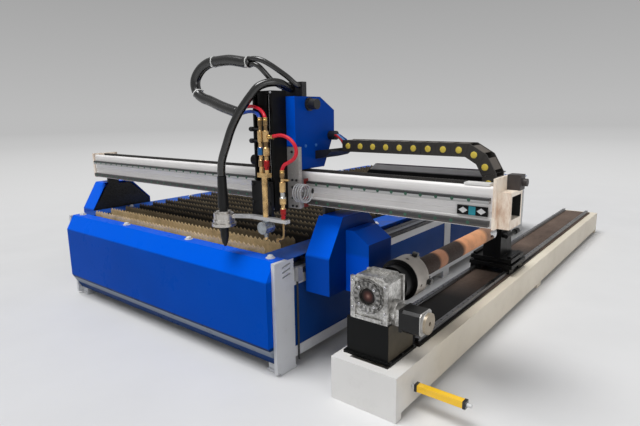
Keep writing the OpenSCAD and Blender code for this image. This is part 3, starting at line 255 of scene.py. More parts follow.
def metal(name, light, dark, rough=(0.22, 0.42), stretch=(1, 1, 1), metallic=1.0, stain=0.25):
    """Machined or rolled metal with directional grain and darker stains."""
    s = Shader(name)
    grain = s.noise(160, 5, stretch)
    stains = s.noise(7, 5, roughness=0.65)
    tone = s.ramp(grain, [(0.3, dark), (0.7, light)])
    s.colour(s.mix(s.span(stains, 0.5, 0.8, 0, stain), tone, tuple(c * 0.45 for c in dark)))
    s.roughness(stains, *rough)
    s.bump(grain, 0.08, 0.0006, 0.001)
    s.fixed(Metallic=metallic)
    return s.material


def rusty(name, light, mid, dark, scale=14, metallic=0.25):
    """Scaled, oxidised steel."""
    s = Shader(name)
    big = s.noise(scale, 8, roughness=0.7)
    small = s.noise(scale * 9, 6, roughness=0.7)
    tone = s.ramp(big, [(0.28, dark), (0.5, mid), (0.72, light)])
    s.colour(s.mix(s.span(small, 0.45, 0.75, 0, 0.6), tone, dark))
    s.roughness(small, 0.6, 0.85)
    s.bump(small, 0.35, 0.0012, 0.0008)
    s.fixed(Metallic=metallic)
    return s.material


def plastic(name, light, dark, rough=(0.35, 0.55), scale=260, bump=0.12, specular=0.3):
    """Moulded plastic or rubber with a fine grain."""
    s = Shader(name)
    patches = s.noise(6, 4)
    s.colour(s.mix(s.span(patches, 0.35, 0.7, 0, 1), dark, light))
    s.roughness(patches, *rough)
    s.bump(s.noise(scale, 4), bump, 0.0008, 0.001)
    s.fixed(Specular_IOR_Level=specular)
    return s.material


def banded(name, axis, high, stops, rough=(0.3, 0.45), metallic=0.0, coat=0.0):
    """Parts of one solid in different tones; each stop is the place where a tone starts along the axis."""
    s = Shader(name)
    low = stops[0][0]
    shares = [((start - low) / (high - low), tone) for start, tone in stops]
    s.soil(s.ramp(s.place(axis, low, high), shares, True), rough, metallic)
    s.fixed(Coat_Weight=coat)
    return s.material


rivet_blue = plastic("rivet_blue", (0.05, 0.2, 0.62), (0.04, 0.16, 0.5), (0.2, 0.3))
blue_dusty = paint("blue_border", (0.01, 0.1, 0.5), (0.008, 0.06, 0.3), (0.4, 0.6), 0.75, 0.1,
                   dust=(0.14, 0.13, 0.13))
pale = paint("pale_paint", (0.66, 0.67, 0.69), (0.54, 0.55, 0.57), (0.35, 0.5), 0.2, 0.5, coat=0.1)
navy = paint("navy_panel", (0.003, 0.045, 0.22), (0.002, 0.03, 0.14), (0.3, 0.45), 0.04, 0.1)
black = paint("black_paint", grey(0.005), grey(0.003), (0.3, 0.5), 0.04, 0.14)
tray_dark = rusty("tray_steel", (0.07, 0.06, 0.05), (0.04, 0.035, 0.03), (0.02, 0.018, 0.016), 5)
comb_steel = rusty("comb_steel", (0.1, 0.085, 0.07), (0.06, 0.05, 0.045), (0.03, 0.025, 0.022), 12)
beam_rack = rusty("beam_rack_oily", (0.03, 0.026, 0.022), (0.02, 0.018, 0.016), (0.01, 0.009, 0.008),
                  metallic=0.0)
rail_steel = metal("rail_steel", (0.36, 0.36, 0.37), (0.2, 0.2, 0.21), stretch=(1, 0.03, 1), stain=0.4)
rack_steel = metal("rack_steel", (0.16, 0.16, 0.165), (0.07, 0.07, 0.075), (0.35, 0.55), stain=0.5)
plate_alu = metal("plate_aluminium", (0.6, 0.58, 0.56), (0.45, 0.43, 0.42), (0.3, 0.45),
                  metallic=0.5, stain=0.2)
jaw_steel = metal("jaw_steel", grey(0.2), grey(0.1), (0.3, 0.5), stain=0.5)
bright = metal("bright_steel", (0.72, 0.72, 0.73), (0.55, 0.55, 0.56), (0.15, 0.3), stain=0.1)
clamp_alu = metal("clamp_aluminium", (0.66, 0.63, 0.6), (0.48, 0.46, 0.43), (0.25, 0.4), stain=0.3)
brass = metal("brass", (0.78, 0.52, 0.2), (0.6, 0.37, 0.12), (0.2, 0.36), stain=0.3)
bolt_dark = metal("bolt_dark", grey(0.1), grey(0.05), (0.35, 0.5))
chain_black = plastic("chain_plastic", (0.04, 0.036, 0.033), (0.026, 0.024, 0.022))
chain_cap = plastic("chain_cap_yellow", (0.68, 0.53, 0.08), (0.58, 0.44, 0.06), (0.4, 0.55))
chain_bar = plastic("chain_bar_grey", (0.14, 0.12, 0.1), (0.09, 0.075, 0.062))
connector_grey = plastic("connector_grey", (0.06, 0.052, 0.05), (0.04, 0.034, 0.033))
gland_black = plastic("gland_plastic", (0.01, 0.01, 0.011), grey(0.006))
tie_white = plastic("tie_white", (0.82, 0.82, 0.8), (0.7, 0.7, 0.68))
bolt_white = plastic("bolt_cap_white", grey(0.8), grey(0.68), (0.2, 0.35))
cap_green = plastic("rail_cap_green", (0.05, 0.14, 0.09), (0.03, 0.08, 0.055), (0.3, 0.45))
cord_white = plastic("cord_white", (0.5, 0.5, 0.51), (0.4, 0.4, 0.41), (0.25, 0.4))
hose_black = plastic("hose_black", (0.008, 0.008, 0.007), grey(0.005), (0.2, 0.3), 420, 0.02, 0.9)
hose_red = plastic("hose_red", (0.74, 0.022, 0.045), (0.6, 0.014, 0.03), (0.25, 0.38), 420, 0.04)
hose_blue = plastic("hose_blue", (0.02, 0.09, 0.5), (0.012, 0.06, 0.36), (0.25, 0.38), 420, 0.04)
sign_black = plastic("sign_black", grey(0.005), grey(0.003), (0.3, 0.4), specular=0.15)
sign_white = plastic("sign_white", grey(0.8), grey(0.72), (0.35, 0.45))
sign_teal = plastic("sign_teal", (0.03, 0.34, 0.42), (0.02, 0.26, 0.33), (0.35, 0.45))

CHROME, SOOT, YELLOW = grey(0.7), grey(0.006), (1.0, 0.6, 0.02)
bar_finish = banded("bar_yellow_black", X, 815, [
    (575, CHROME), (592, SOOT), (604, YELLOW), (780, SOOT), (792, CHROME),
], (0.18, 0.32), coat=0.3)
motor_finish = banded("motor_black_silver", X, 641, [
    (537, SOOT), (620.2, (0.46, 0.45, 0.43)), (630.6, (0.36, 0.3, 0.22)),
], (0.25, 0.4), 0.35)
switch_finish = banded("switch_grey_black", Z, 500, [(0, SOIL), (400, (0.3, 0.3, 0.31))])
bar_alu = banded("torch_bar_alu_black", Y, 580, [
    (-420, (0.55, 0.55, 0.56)), (80, (0.014, 0.014, 0.015)),
], metallic=0.6)
block_steel = banded("x_block_steel_red", X, 35, [
    (-175, (0.3, 0.3, 0.31)), (22, (0.22, 0.025, 0.022)),
], metallic=0.4)

RED, BLUE, BRASS, DULL = (0.5, 0.012, 0.02), (0.02, 0.14, 0.4), (0.78, 0.52, 0.23), (0.34, 0.22, 0.1)
HEAD_GREY, TEE_STEEL = (0.36, 0.39, 0.42), (0.62, 0.62, 0.6)
STACK_Z, STACK_HEAD_Z, STACK_MID_X = (868, 1077), (600, 672), (-53, -51)
TEE_Z = (580, 880)


def stack_finish():
    """Brass torch with a coloured band on each of its valves, duller nuts and a grey head."""
    s = Shader("torch_brass_bands")
    height = s.place(Z, *STACK_Z)
    right = s.ramp(height, [
        (0.0, BRASS), (0.06, RED), (0.25, BRASS), (0.5, DULL), (0.6, BRASS), (0.82, DULL),
    ], True)
    left = s.ramp(height, [
        (0.0, BRASS), (0.12, DULL), (0.26, BRASS), (0.34, BLUE), (0.49, BRASS), (0.82, DULL),
    ], True)
    side = s.ramp(s.place(X, *STACK_MID_X), [(0.0, OFF), (0.5, ON)], True)
    s.tarnish(s.mix(s.inside(Z, *STACK_HEAD_Z), s.mix(side, left, right), HEAD_GREY), 0.75)
    return s.material


def tee_finish():
    """Brass stack with a red band over the bar and a bright steel stretch above it."""
    s = Shader("tee_brass_bands")
    s.tarnish(s.ramp(s.place(Z, *TEE_Z), [
        (0.0, DULL), (0.36, RED), (0.5, BRASS), (0.64, TEE_STEEL), (0.72, BRASS), (0.9, DULL),
    ], True), 0.7)
    return s.material


FIRST_SLAT_Y, SLAT_LIT_TEETH_Z = (190, 360), (512, 530)


def slat_scale_and_painted_light():
    """Scaled slats: the first one pale as painted light, those behind darker with slag and painted shade,
    their teeth paler as a painted highlight.
    """
    s = Shader("slat_steel")
    big = s.noise(9, 8, roughness=0.7)
    small = s.noise(80, 6, roughness=0.7)
    lit_slat_tone = s.ramp(big, [
        (0.3, (0.52, 0.37, 0.19)), (0.55, (0.84, 0.62, 0.33)), (0.75, (0.94, 0.74, 0.44)),
    ])
    slag_and_shade_tone = s.ramp(big, [
        (0.3, (0.012, 0.011, 0.009)), (0.55, (0.024, 0.021, 0.017)), (0.75, (0.055, 0.047, 0.038)),
    ])
    # Painted light: the first slat takes the lit tone.
    first = s.span(s.place(Y, *FIRST_SLAT_Y), 0, 1, 1, 0)
    # Painted highlight: the teeth of the slats behind grow paler towards their tips.
    teeth = s.span(s.place(Z, *SLAT_LIT_TEETH_Z), 0, 1, 0, 0.2)
    tone = s.mix(first, s.mix(teeth, slag_and_shade_tone, lit_slat_tone), lit_slat_tone)
    s.colour(s.mix(s.span(small, 0.5, 0.78, 0, 0.45), tone, (0.07, 0.058, 0.048)))
    s.roughness(small, 0.55, 0.8)
    s.bump(small, 0.3, 0.0012, 0.0008)
    s.fixed(Metallic=0.05)
    return s.material


TRAY_Z = (690, 890)


def tray_sheet_painted_light():
    """Cable tray: dark below as painted shade inside the trough, pale along the top of its walls as painted
    light, with a dark rim.
    """
    s = Shader("cable_tray_sheet")
    patches = s.noise(5, 5)
    # Painted shade low on the walls, painted light along their tops.
    tone = s.ramp(s.place(Z, *TRAY_Z), [
        (0.0, (0.012, 0.012, 0.013)), (0.8, (0.014, 0.014, 0.015)), (0.83, (0.9, 0.9, 0.92)),
        (0.925, (0.95, 0.95, 0.97)), (0.935, (0.1, 0.08, 0.11)),
    ])
    s.colour(s.mix(s.span(patches, 0.45, 0.8, 0, 0.15), tone, (0.03, 0.028, 0.026)))
    s.roughness(patches, 0.4, 0.6)
    s.bump(s.noise(300, 3), 0.05, 0.0006, 0.001)
    s.fixed(Specular_IOR_Level=0.2)
    return s.material


BEAM_RAIL_Z = (700, 840)


def beam_rail_painted_shade():
    """Rails of the beam: the upper one's top is dark as painted shade, the lower one is dark, the upper one's
    face is bright.
    """
    s = Shader("beam_rail_steel")
    grain = s.noise(160, 5, (0.03, 1, 1))
    # Painted shade: the dark band along the upper rail's top.
    tone = s.ramp(s.place(Z, *BEAM_RAIL_Z), [
        (0.0, (0.1, 0.09, 0.085)), (0.2, (0.05, 0.05, 0.052)), (0.5, grey(0.5)), (0.79, (0.045, 0.047, 0.05)),
    ], True)
    s.colour(s.mix(s.span(grain, 0.35, 0.7, 0, 0.35), tone, (0.16, 0.15, 0.14)))
    s.roughness(grain, 0.3, 0.5)
    s.bump(grain, 0.08, 0.0006, 0.001)
    s.fixed(Metallic=0.6)
    return s.material


HOLLOW_SHADE = grey(0.004)
BEAM_HOLLOW_Y, BEAM_HOLLOW_Z = (268.5, 382.5), (725.5, 835.5)
END_TUBE_X, END_TUBE_Y, END_TUBE_Z = (818, 870), (286.5, 379.5), (743.5, 823.5)
STOP_BAR_X, STOP_BAR_Z = (700, 810), (846, 900)


def beam_aluminium_and_hollow_shade():
    """Drawn aluminium beam, with painted shade in its hollow."""
    s = Shader("beam_aluminium")
    grain = s.noise(160, 5, (0.02, 1, 1))
    stains = s.noise(7, 5, roughness=0.65)
    tone = s.ramp(grain, [(0.3, (0.88, 0.855, 0.84)), (0.7, (0.96, 0.94, 0.925))])
    hollow = s.both(s.inside(Y, *BEAM_HOLLOW_Y), s.inside(Z, *BEAM_HOLLOW_Z))
    tone = s.mix(s.span(stains, 0.5, 0.8, 0, 0.12), tone, (0.3, 0.29, 0.28))
    # Painted shade: the hollow is near black.
    s.colour(s.mix(hollow, tone, HOLLOW_SHADE))
    s.roughness(stains, 0.36, 0.5)
    s.bump(grain, 0.08, 0.0006, 0.001)
    s.fixed(Metallic=0.05)
    return s.material


def end_plate_and_hollow_shade():
    """Cream end plates with rust stains, painted shade in the hollow of the box tube, and the white stop bar.
    """
    s = Shader("end_plate_cream")
    stain = s.noise(16, 7, (1, 1, 0.35), 0.7)
    tone = s.ramp(s.noise(3, 4), [(0.35, (0.9, 0.77, 0.63)), (0.68, (0.97, 0.87, 0.75))])
    hollow = s.both(s.both(s.inside(Y, *END_TUBE_Y), s.inside(Z, *END_TUBE_Z)), s.inside(X, *END_TUBE_X))
    white_stop = s.both(s.inside(X, *STOP_BAR_X), s.inside(Z, *STOP_BAR_Z))
    tone = s.mix(s.span(stain, 0.5, 0.7, 0, 0.8), tone, (0.48, 0.24, 0.11))
    tone = s.mix(white_stop, tone, (0.8, 0.79, 0.77))
    # Painted shade: the hollow of the box tube is near black.
    s.colour(s.mix(hollow, tone, HOLLOW_SHADE))
    s.roughness(stain, 0.4, 0.6)
    s.bump(s.noise(300, 3), 0.06, 0.0008, 0.001)
    return s.material


WIRES_X, WIRES_Z = (36.3, 90), (955, 1050)
WIRE_FROM, WIRE_TO, WIRE_BAND = (46, 440), (78, 456), 0.03


def fittings_finish():
    """Black fittings; the three wires to the chain are red, light blue and dark blue."""
    s = Shader("fittings_black_wires")
    axes = s.axes()
    (x0, y0), (x1, y1) = WIRE_FROM, WIRE_TO
    middle = s.span(axes[X], row(X, x0), row(X, x1), row(Y, y0), row(Y, y1))
    across = s.span(s.calc("SUBTRACT", axes[Y], middle), -WIRE_BAND, WIRE_BAND, 0, 1)
    wires = s.ramp(across, [(0.0, RED), (0.4, (0.12, 0.35, 0.7)), (0.6, (0.02, 0.06, 0.3))], True)
    level = s.both(s.inside(Z, *WIRES_Z), s.inside(X, *WIRES_X))
    s.colour(s.mix(level, (0.018, 0.018, 0.019), wires))
    s.roughness(s.noise(6, 4), 0.35, 0.55)
    s.bump(s.noise(260, 4), 0.12, 0.0008, 0.001)
    return s.material


COVER_BEND_Z, COVER_REFLECTION_Z, COVER_FOOT_Z = (420, 430), (40, 140), (132, 138)


def front_cover_blue_and_painted_light():
    """Blue sheet of the front cover: its sloped edge painted brighter as painted light, and under its lower
    bend a painted reflection band, dark blue below and pale above, topped by a painted shadow line.
    """
    s = Shader("front_cover_blue")
    face = s.ramp(s.noise(1.4, 3), [(0.35, (0.0, 0.062, 0.42)), (0.68, (0.0, 0.074, 0.5))])
    # Painted light: the slope above the bend is a lighter blue than the face.
    tone = s.mix(s.place(Z, *COVER_BEND_Z), face, (0.0, 0.118, 0.82))
    # Painted reflection and shade under the lower bend: dark blue at the bottom, a pale band reflecting lit
    # floor, then a dark painted shadow line.
    strip = s.ramp(s.place(Z, *COVER_REFLECTION_Z), [
        (0.0, (0.002, 0.03, 0.13)), (0.42, (0.003, 0.035, 0.16)), (0.46, (0.2, 0.24, 0.3)),
        (0.78, (0.28, 0.31, 0.36)), (0.82, (0.003, 0.02, 0.08)), (0.92, (0.003, 0.03, 0.14)),
    ])
    low = s.ramp(s.place(Z, *COVER_FOOT_Z), [(0.0, ON), (1.0, OFF)])
    s.spray(s.mix(low, tone, strip), (0.24, 0.38), 0.02, (0.02, 0.13, 0.4), 0.06, 0.003)
    return s.material


SIDE_BEND_Z = (500, 515)
SIDE_SHADE_START, SIDE_SHADE_FULL = 1.6, 0.6


def side_cover_painted_light(name, upright, slope, side_x, way):
    """Blue covers of the gantry's sides: one tone below the bend and another above it, painted light on the
    slope, and a painted shade over the outer side.
    """
    s = Shader(name)
    # Painted light: the blue above the bend differs from the one below, as light falls on the slope.
    tone = s.mix(s.place(Z, *SIDE_BEND_Z), upright, slope)
    # Painted shade: the outer side turns dark blue.
    outer = s.place(X, side_x - SIDE_SHADE_START * way, side_x - SIDE_SHADE_FULL * way)
    s.spray(s.mix(outer, tone, (0.0, 0.026, 0.17)), (0.3, 0.42), 0.06, (0.01, 0.12, 0.42), 0.08)
    return s.material


CARRIAGE_LIT_FRONT_Y = (204, 203)


def carriage_cover_painted_light():
    """Deep blue carriage cover with its front faces painted brighter as painted light."""
    s = Shader("carriage_blue")
    tone = s.broad((0.0, 0.046, 0.32), (0.0, 0.058, 0.4))
    # Painted light: the front faces are a brighter blue.
    tone = s.mix(s.place(Y, *CARRIAGE_LIT_FRONT_Y), tone, (0.0, 0.1, 0.72))
    s.spray(tone, (0.3, 0.42), 0.06, (0.005, 0.05, 0.2), 0.2)
    return s.material


PLATE_Y, BED_NEAR_Y = (900, 2200), (60, 420)


def bed_plate_oil_and_shadow():
    """Bed plate: dark with oil and with painted shadow of the gantry and tailstock near the chuck and under
    the tailstock, dusty brown elsewhere.
    """
    s = Shader("bed_plate_brown")
    big = s.noise(4, 8, (1, 0.4, 1), 0.7)
    small = s.noise(60, 6, roughness=0.7)
    # Painted shadow: the dark stretches lie where the gantry and the tailstock cast shade, over oily steel.
    along = s.ramp(s.place(Y, *PLATE_Y), [
        (0.0, OFF), (0.09, grey(0.25)), (0.27, grey(0.75)), (0.38, grey(0.5)), (0.46, OFF), (0.73, OFF),
        (0.96, ON),
    ])
    dusty = s.ramp(big, [(0.3, (0.07, 0.048, 0.038)), (0.7, (0.2, 0.145, 0.115))])
    oil_and_shadow_tone = s.ramp(big, [(0.35, (0.004, 0.0035, 0.003)), (0.75, (0.018, 0.015, 0.013))])
    tone = s.mix(along, oil_and_shadow_tone, dusty)
    s.colour(s.mix(s.span(small, 0.45, 0.75, 0, 0.4), tone, (0.02, 0.015, 0.012)))
    s.roughness(along, 0.35, 0.6)
    s.bump(small, 0.2, 0.0008, 0.001)
    s.fixed(Specular_IOR_Level=0.08)
    return s.material


def bed_finish():
    """White bed: neutral at its near end, warmer along its beams."""
    s = Shader("bed_white")
    near = s.broad((0.72, 0.71, 0.69), (0.8, 0.79, 0.77))
    along = s.broad((0.74, 0.66, 0.53), (0.85, 0.77, 0.63))
    s.spray(s.mix(s.place(Y, *BED_NEAR_Y), near, along), (0.35, 0.5), 0.5, DUST, 0.12)
    return s.material


PEDESTAL_SIDE_X, PEDESTAL_BOX_Z = (507, 508), (190, 191)


def pedestal_painted_reflection():
    """Black pedestal with its right side painted lighter as a painted reflection."""
    s = Shader("pedestal_black")
    side = s.both(s.place(X, *PEDESTAL_SIDE_X), s.place(Z, *PEDESTAL_BOX_Z))
    # Painted reflection: the right side of the box takes a lighter brown-grey.
    side_reflection = s.ramp(s.noise(9, 6, roughness=0.7), [(0.35, (0.06, 0.05, 0.034)), (0.65, (0.1, 0.084, 0.06))])
    s.spray(s.mix(side, (0.004, 0.0045, 0.0045), side_reflection), (0.3, 0.5), 0.14)
    return s.material


PIPE_Y = (440, 1332)


def pipe_rust_and_shadow():
    """Rusty pipe: dark at the chuck, a painted shadow across its middle, with bare brown stretches at the
    cuts.
    """
    s = Shader("pipe_rust_rings")
    big = s.noise(12, 8, roughness=0.7)
    small = s.noise(110, 6, roughness=0.7)
    # Painted shadow: the dark stretch across the pipe's middle.
    tone = s.ramp(s.place(Y, *PIPE_Y), [
        (0.0, (0.03, 0.014, 0.007)), (0.22, (0.03, 0.013, 0.007)), (0.25, (0.46, 0.21, 0.11)),
        (0.31, (0.44, 0.21, 0.12)), (0.33, (0.018, 0.009, 0.005)), (0.51, (0.022, 0.01, 0.006)),
        (0.56, (0.74, 0.34, 0.17)), (0.84, (0.82, 0.4, 0.2)), (0.88, (0.3, 0.17, 0.11)),
        (1.0, (0.34, 0.22, 0.16)),
    ])
    s.colour(s.mix(s.span(big, 0.45, 0.75, 0, 0.35), tone, (0.045, 0.022, 0.013)))
    s.roughness(small, 0.55, 0.8)
    s.bump(small, 0.3, 0.001, 0.001)
    s.fixed(Metallic=0.2)
    return s.material


RING_R, RING_RIBS, RING_Y = (0.03, 0.075), 16.0, (100, 113)


def gear_cast_and_relief_shade():
    """Cast gearbox: bright skin, soiled grooves, and ribs round the bore of its front ring, with painted
    shade in its grooves and between its ribs and painted highlights on its ridges.
    """
    s = Shader("gearbox_cast")
    skin = s.noise(90, 5)
    soil = s.noise(14, 6, roughness=0.7)
    right, up, radius = s.around_pipe()
    share = s.span(radius, *RING_R, 0, 1)
    rings = s.ramp(share, [
        (0.0, grey(0.9)), (0.2, grey(0.3)), (0.26, grey(0.75)), (0.6, grey(0.75)), (0.64, grey(0.2)),
        (0.7, grey(0.9)), (0.82, grey(0.25)), (0.87, grey(0.7)),
    ])
    wave = s.calc("SINE", s.calc("MULTIPLY", s.calc("ARCTAN2", up, right), RING_RIBS))
    ribs = s.span(wave, -0.4, 0.4, 0.35, 1)
    between = s.ramp(share, [(0.0, OFF), (0.26, ON), (0.6, OFF)], True)
    # Painted shade in the ring's grooves and between its ribs, painted highlights on its ridges.
    relief_and_shade = s.mix(between, rings, s.both(rings, ribs))
    front = s.inside(Y, *RING_Y)
    tone = s.ramp(skin, [(0.3, (0.4, 0.39, 0.37)), (0.7, (0.86, 0.85, 0.82))])
    tone = s.mix(s.span(soil, 0.42, 0.7, 0, 0.8), tone, (0.09, 0.084, 0.075))
    s.colour(s.mix(front, tone, s.both(tone, relief_and_shade)))
    s.roughness(soil, 0.2, 0.42)
    s.bump(s.mix(front, skin, relief_and_shade), 0.35, 0.0018, 0.0012)
    s.fixed(Metallic=0.8)
    return s.material


SPINDLE_R, SPINDLE_Y, CHUCK_Y = 0.03, (100, 144), (110, 450)


def chuck_steel_and_highlight():
    """Chuck: rusty spindle end with a painted highlight at its centre and painted shade towards its rim,
    black hub, oily bright ring.
    """
    s = Shader("chuck_steel")
    # Painted highlight at the spindle end's centre, painted shade darkening towards its rim.
    spindle_end_highlight = s.ramp(s.span(s.around_pipe()[2], 0, SPINDLE_R, 0, 1), [
        (0.0, (0.34, 0.2, 0.16)), (0.2, (0.16, 0.075, 0.06)), (0.42, (0.07, 0.024, 0.02)),
        (0.8, (0.012, 0.009, 0.008)),
    ])
    tone = s.ramp(s.place(Y, *CHUCK_Y), [(0.0, OFF), (0.1, grey(0.008)), (0.68, (0.45, 0.41, 0.37))], True)
    s.soil(s.mix(s.inside(Y, *SPINDLE_Y), tone, spindle_end_highlight), (0.28, 0.45), 0.6)
    return s.material


FOOT_SIDE_X = {"right": 172, "left": -1872}
DRIVE_SIDE_X = {"right": 290, "left": -1990}
# Upright and slope blues of the feet and drive covers: lit and shaded copies of one paint, painted light.
FOOT_LIT_AND_SHADED_TONES = (0.0, 0.066, 0.47), (0.0, 0.122, 0.86)
DRIVE_LIT_AND_SHADED_TONES = (0.0, 0.112, 0.86), (0.0, 0.096, 0.65)
finishes = [
    (front_cover_blue_and_painted_light(), "front_cover"), (carriage_cover_painted_light(), "carriage_cover"),
    (blue_dusty, "top_border"), (pale, "legs", "frame_beams"), (navy, "side_panels"),
    (slat_scale_and_painted_light(), "slats"), (comb_steel, "slat_combs"), (tray_dark, "tray"),
    (rail_steel, "y_rails", "bed_rails"),
    (rack_steel, "y_racks", "y_pinion_right", "y_pinion_left", "x_pinion"),
    (beam_aluminium_and_hollow_shade(), "beam"), (end_plate_and_hollow_shade(), "beam_ends"),
    (beam_rail_painted_shade(), "x_rails"), (beam_rack, "x_rack"),
    (tray_sheet_painted_light(), "cable_tray"), (connector_grey, "end_connector"), (fittings_finish(), "cover_fittings"),
    (plate_alu, "y_blocks", "carriage_plate"), (block_steel, "x_blocks"), (bolt_dark, "saddles"),
    (bar_alu, "torch_bar"), (clamp_alu, "torch_clamp"), (gland_black, "torch"),
    (stack_finish(), "flame_torch"), (tee_finish(), "gas_tee"), (bright, "z_screw", "tail_center"),
    (bed_finish(), "bed_beams", "bed_ends"), (bed_plate_oil_and_shadow(), "bed_plate"), (bar_finish, "light_bar"),
    (pedestal_painted_reflection(), "pedestal"), (gear_cast_and_relief_shade(), "gearbox"), (motor_finish, "rotary_motor"),
    (chuck_steel_and_highlight(), "chuck"), (jaw_steel, "jaw_1", "jaw_2", "jaw_3", "jaw_4"), (pipe_rust_and_shadow(), "pipe"),
    (switch_finish, "limit_switch"), (black, "z_column", "tailstock", "y_motors", "x_motor"),
]
for side, way in (("right", 1), ("left", -1)):
    foot_blue = side_cover_painted_light("foot_blue_" + side, *FOOT_LIT_AND_SHADED_TONES, FOOT_SIDE_X[side], way)
    drive_blue = side_cover_painted_light("drive_blue_" + side, *DRIVE_LIT_AND_SHADED_TONES, DRIVE_SIDE_X[side], way)
    finishes += [(foot_blue, "foot_" + side), (drive_blue, "drive_cover_" + side)]
for material, *names in finishes:
    for name in names:
        nodes[name].data.materials.clear()
        nodes[name].data.materials.append(material)

# Mesh builders

CURVE_STEPS, ROUTE_STEP = 24, 0.006
SHARP_ANGLE = math.radians(35)


def new_object(name, mesh, material):
    obj = bpy.data.objects.new(name, mesh)
    bpy.context.scene.collection.objects.link(obj)
    mesh.materials.append(material)
    return obj


def smooth_route(points):
    """Even points of a smooth curve through the route's points."""
    p = [Vector(q) for q in points]
    p = [2 * p[0] - p[1]] + p + [2 * p[-1] - p[-2]]
    dense = []
    for i in range(1, len(p) - 2):
        a, b, c, d = p[i - 1], p[i], p[i + 1], p[i + 2]
        for k in range(CURVE_STEPS):
            t = k / CURVE_STEPS
            dense.append(0.5 * (2 * b + (c - a) * t + (2 * a - 5 * b + 4 * c - d) * t * t
                                + (3 * b - a - 3 * c + d) * t ** 3))
    dense.append(p[-2])
    reach = [0.0]
    for i in range(1, len(dense)):
        reach.append(reach[-1] + (dense[i] - dense[i - 1]).length)
    count = max(2, round(reach[-1] / ROUTE_STEP))
    even, k = [], 0
    for i in range(count + 1):
        want = reach[-1] * i / count
        while k < len(reach) - 2 and reach[k + 1] < want:
            k += 1
        f = (want - reach[k]) / max(1e-9, reach[k + 1] - reach[k])
        even.append(dense[k].lerp(dense[k + 1], f))
    return even


def tube(name, points, radius, material, sides=16):
    """Round hose along the points, closed at its ends."""
    verts, faces = [], []
    heading = (points[1] - points[0]).normalized()
    side = heading.orthogonal().normalized()
    for i, p in enumerate(points):
        ahead = points[min(i + 1, len(points) - 1)] - points[max(i - 1, 0)]
        ahead.normalize()
        side = (side - ahead * side.dot(ahead)).normalized()
        up = ahead.cross(side)
        for k in range(sides):
            a = 2 * math.pi * k / sides
            verts.append(p + radius * (math.cos(a) * side + math.sin(a) * up))
    n = len(points)
    for i in range(n - 1):
        for k in range(sides):
            a, b = i * sides + k, i * sides + (k + 1) % sides
            faces.append((a, b, b + sides, a + sides))
    faces.append(tuple(range(sides - 1, -1, -1)))
    faces.append(tuple((n - 1) * sides + k for k in range(sides)))
    mesh = bpy.data.meshes.new(name)
    mesh.from_pydata([tuple(v) for v in verts], [], faces)
    mesh.shade_smooth()
    return new_object(name, mesh, material)


def lathe_into(bm, profile, place, axis, segments=20):
    """Adds a turned shape: profile of radius and height in metres, standing at place along axis."""
    turn = Vector((0, 0, 1)).rotation_difference(Vector(axis).normalized()).to_matrix().to_4x4()
    matrix = Matrix.Translation(place) @ turn
    rings = []
    for r, h in profile:
        if r < 1e-6:
            rings.append([bm.verts.new(matrix @ Vector((0, 0, h)))])
            continue
        ring = []
        for k in range(segments):
            a = 2 * math.pi * k / segments
            ring.append(bm.verts.new(matrix @ Vector((r * math.cos(a), r * math.sin(a), h))))
        rings.append(ring)
    for a, b in zip(rings, rings[1:]):
        for k in range(segments):
            j = (k + 1) % segments
            if len(a) == 1 and len(b) > 1:
                bm.faces.new((a[0], b[k], b[j]))
            elif len(b) == 1 and len(a) > 1:
                bm.faces.new((a[k], a[j], b[0]))
            elif len(a) > 1:
                bm.faces.new((a[k], a[j], b[j], b[k]))


def prism_into(bm, outline, low, high, to_point):
    """Adds a flat plate of an outline drawn out from low to high; to_point maps (u, v, w)."""
    a = [bm.verts.new(to_point(u, v, low)) for u, v in outline]
    b = [bm.verts.new(to_point(u, v, high)) for u, v in outline]
    n = len(outline)
    bm.faces.new(list(reversed(a)))
    bm.faces.new(b)
    for k in range(n):
        j = (k + 1) % n
        bm.faces.new((a[k], a[j], b[j], b[k]))


def box_outline(u0, u1, v0, v1):
    return [(u0, v0), (u1, v0), (u1, v1), (u0, v1)]


def finish_bm(bm, name, material, bevel=0.0):
    bmesh.ops.recalc_face_normals(bm, faces=bm.faces)
    mesh = bpy.data.meshes.new(name)
    bm.to_mesh(mesh)
    bm.free()
    obj = new_object(name, mesh, material)
    mesh.shade_smooth()
    mesh.set_sharp_from_angle(angle=SHARP_ANGLE)
    if bevel:
        m = obj.modifiers.new("edges", "BEVEL")
        m.width = bevel
        m.segments = 2
        m.limit_method = "ANGLE"
    return obj


# Hoses: the routes are those of the construction

BUNDLE_D, STRAND_D, LEAD_D, GAS_D = 0.046, 0.022, 0.034, 0.014
bundle_route = [
    (-208, 160, 1318), (-236, 160, 1318), (-280, 156, 1326), (-330, 152, 1333), (-396, 146, 1332),
    (-450, 141, 1327), (-500, 136, 1304), (-532, 130, 1266), (-534, 126, 1228), (-510, 121, 1194),
    (-468, 116, 1174), (-420, 112, 1162), (-332, 102, 1136), (-224, 94, 1109),
]
low_strand_route = [
    (-208, 160, 1307), (-180, 160, 1307), (-158, 164, 1296), (-140, 178, 1272), (-124, 200, 1242),
    (-110, 224, 1222), (-102, 240, 1214), (-100, 248, 1212), (-100, 254, 1212),
]
high_strand_route = [
    (-208, 160, 1329), (-180, 160, 1329), (-146, 166, 1322), (-110, 180, 1302), (-76, 198, 1276),
    (-46, 216, 1250), (-27, 231, 1228), (-18, 242, 1218), (-16, 249, 1216), (-16, 254, 1216),
]
lead_route = [
    (-244, 6, 848), (-244, 6, 880), (-236, 7, 920), (-214, 13, 978), (-194, 26, 1042), (-172, 46, 1100),
    (-152, 64, 1140), (-128, 84, 1180), (-108, 100, 1208), (-90, 122, 1222), (-72, 150, 1228),
    (-62, 182, 1226), (-58, 212, 1216), (-58, 236, 1208), (-58, 246, 1206), (-58, 254, 1206),
]
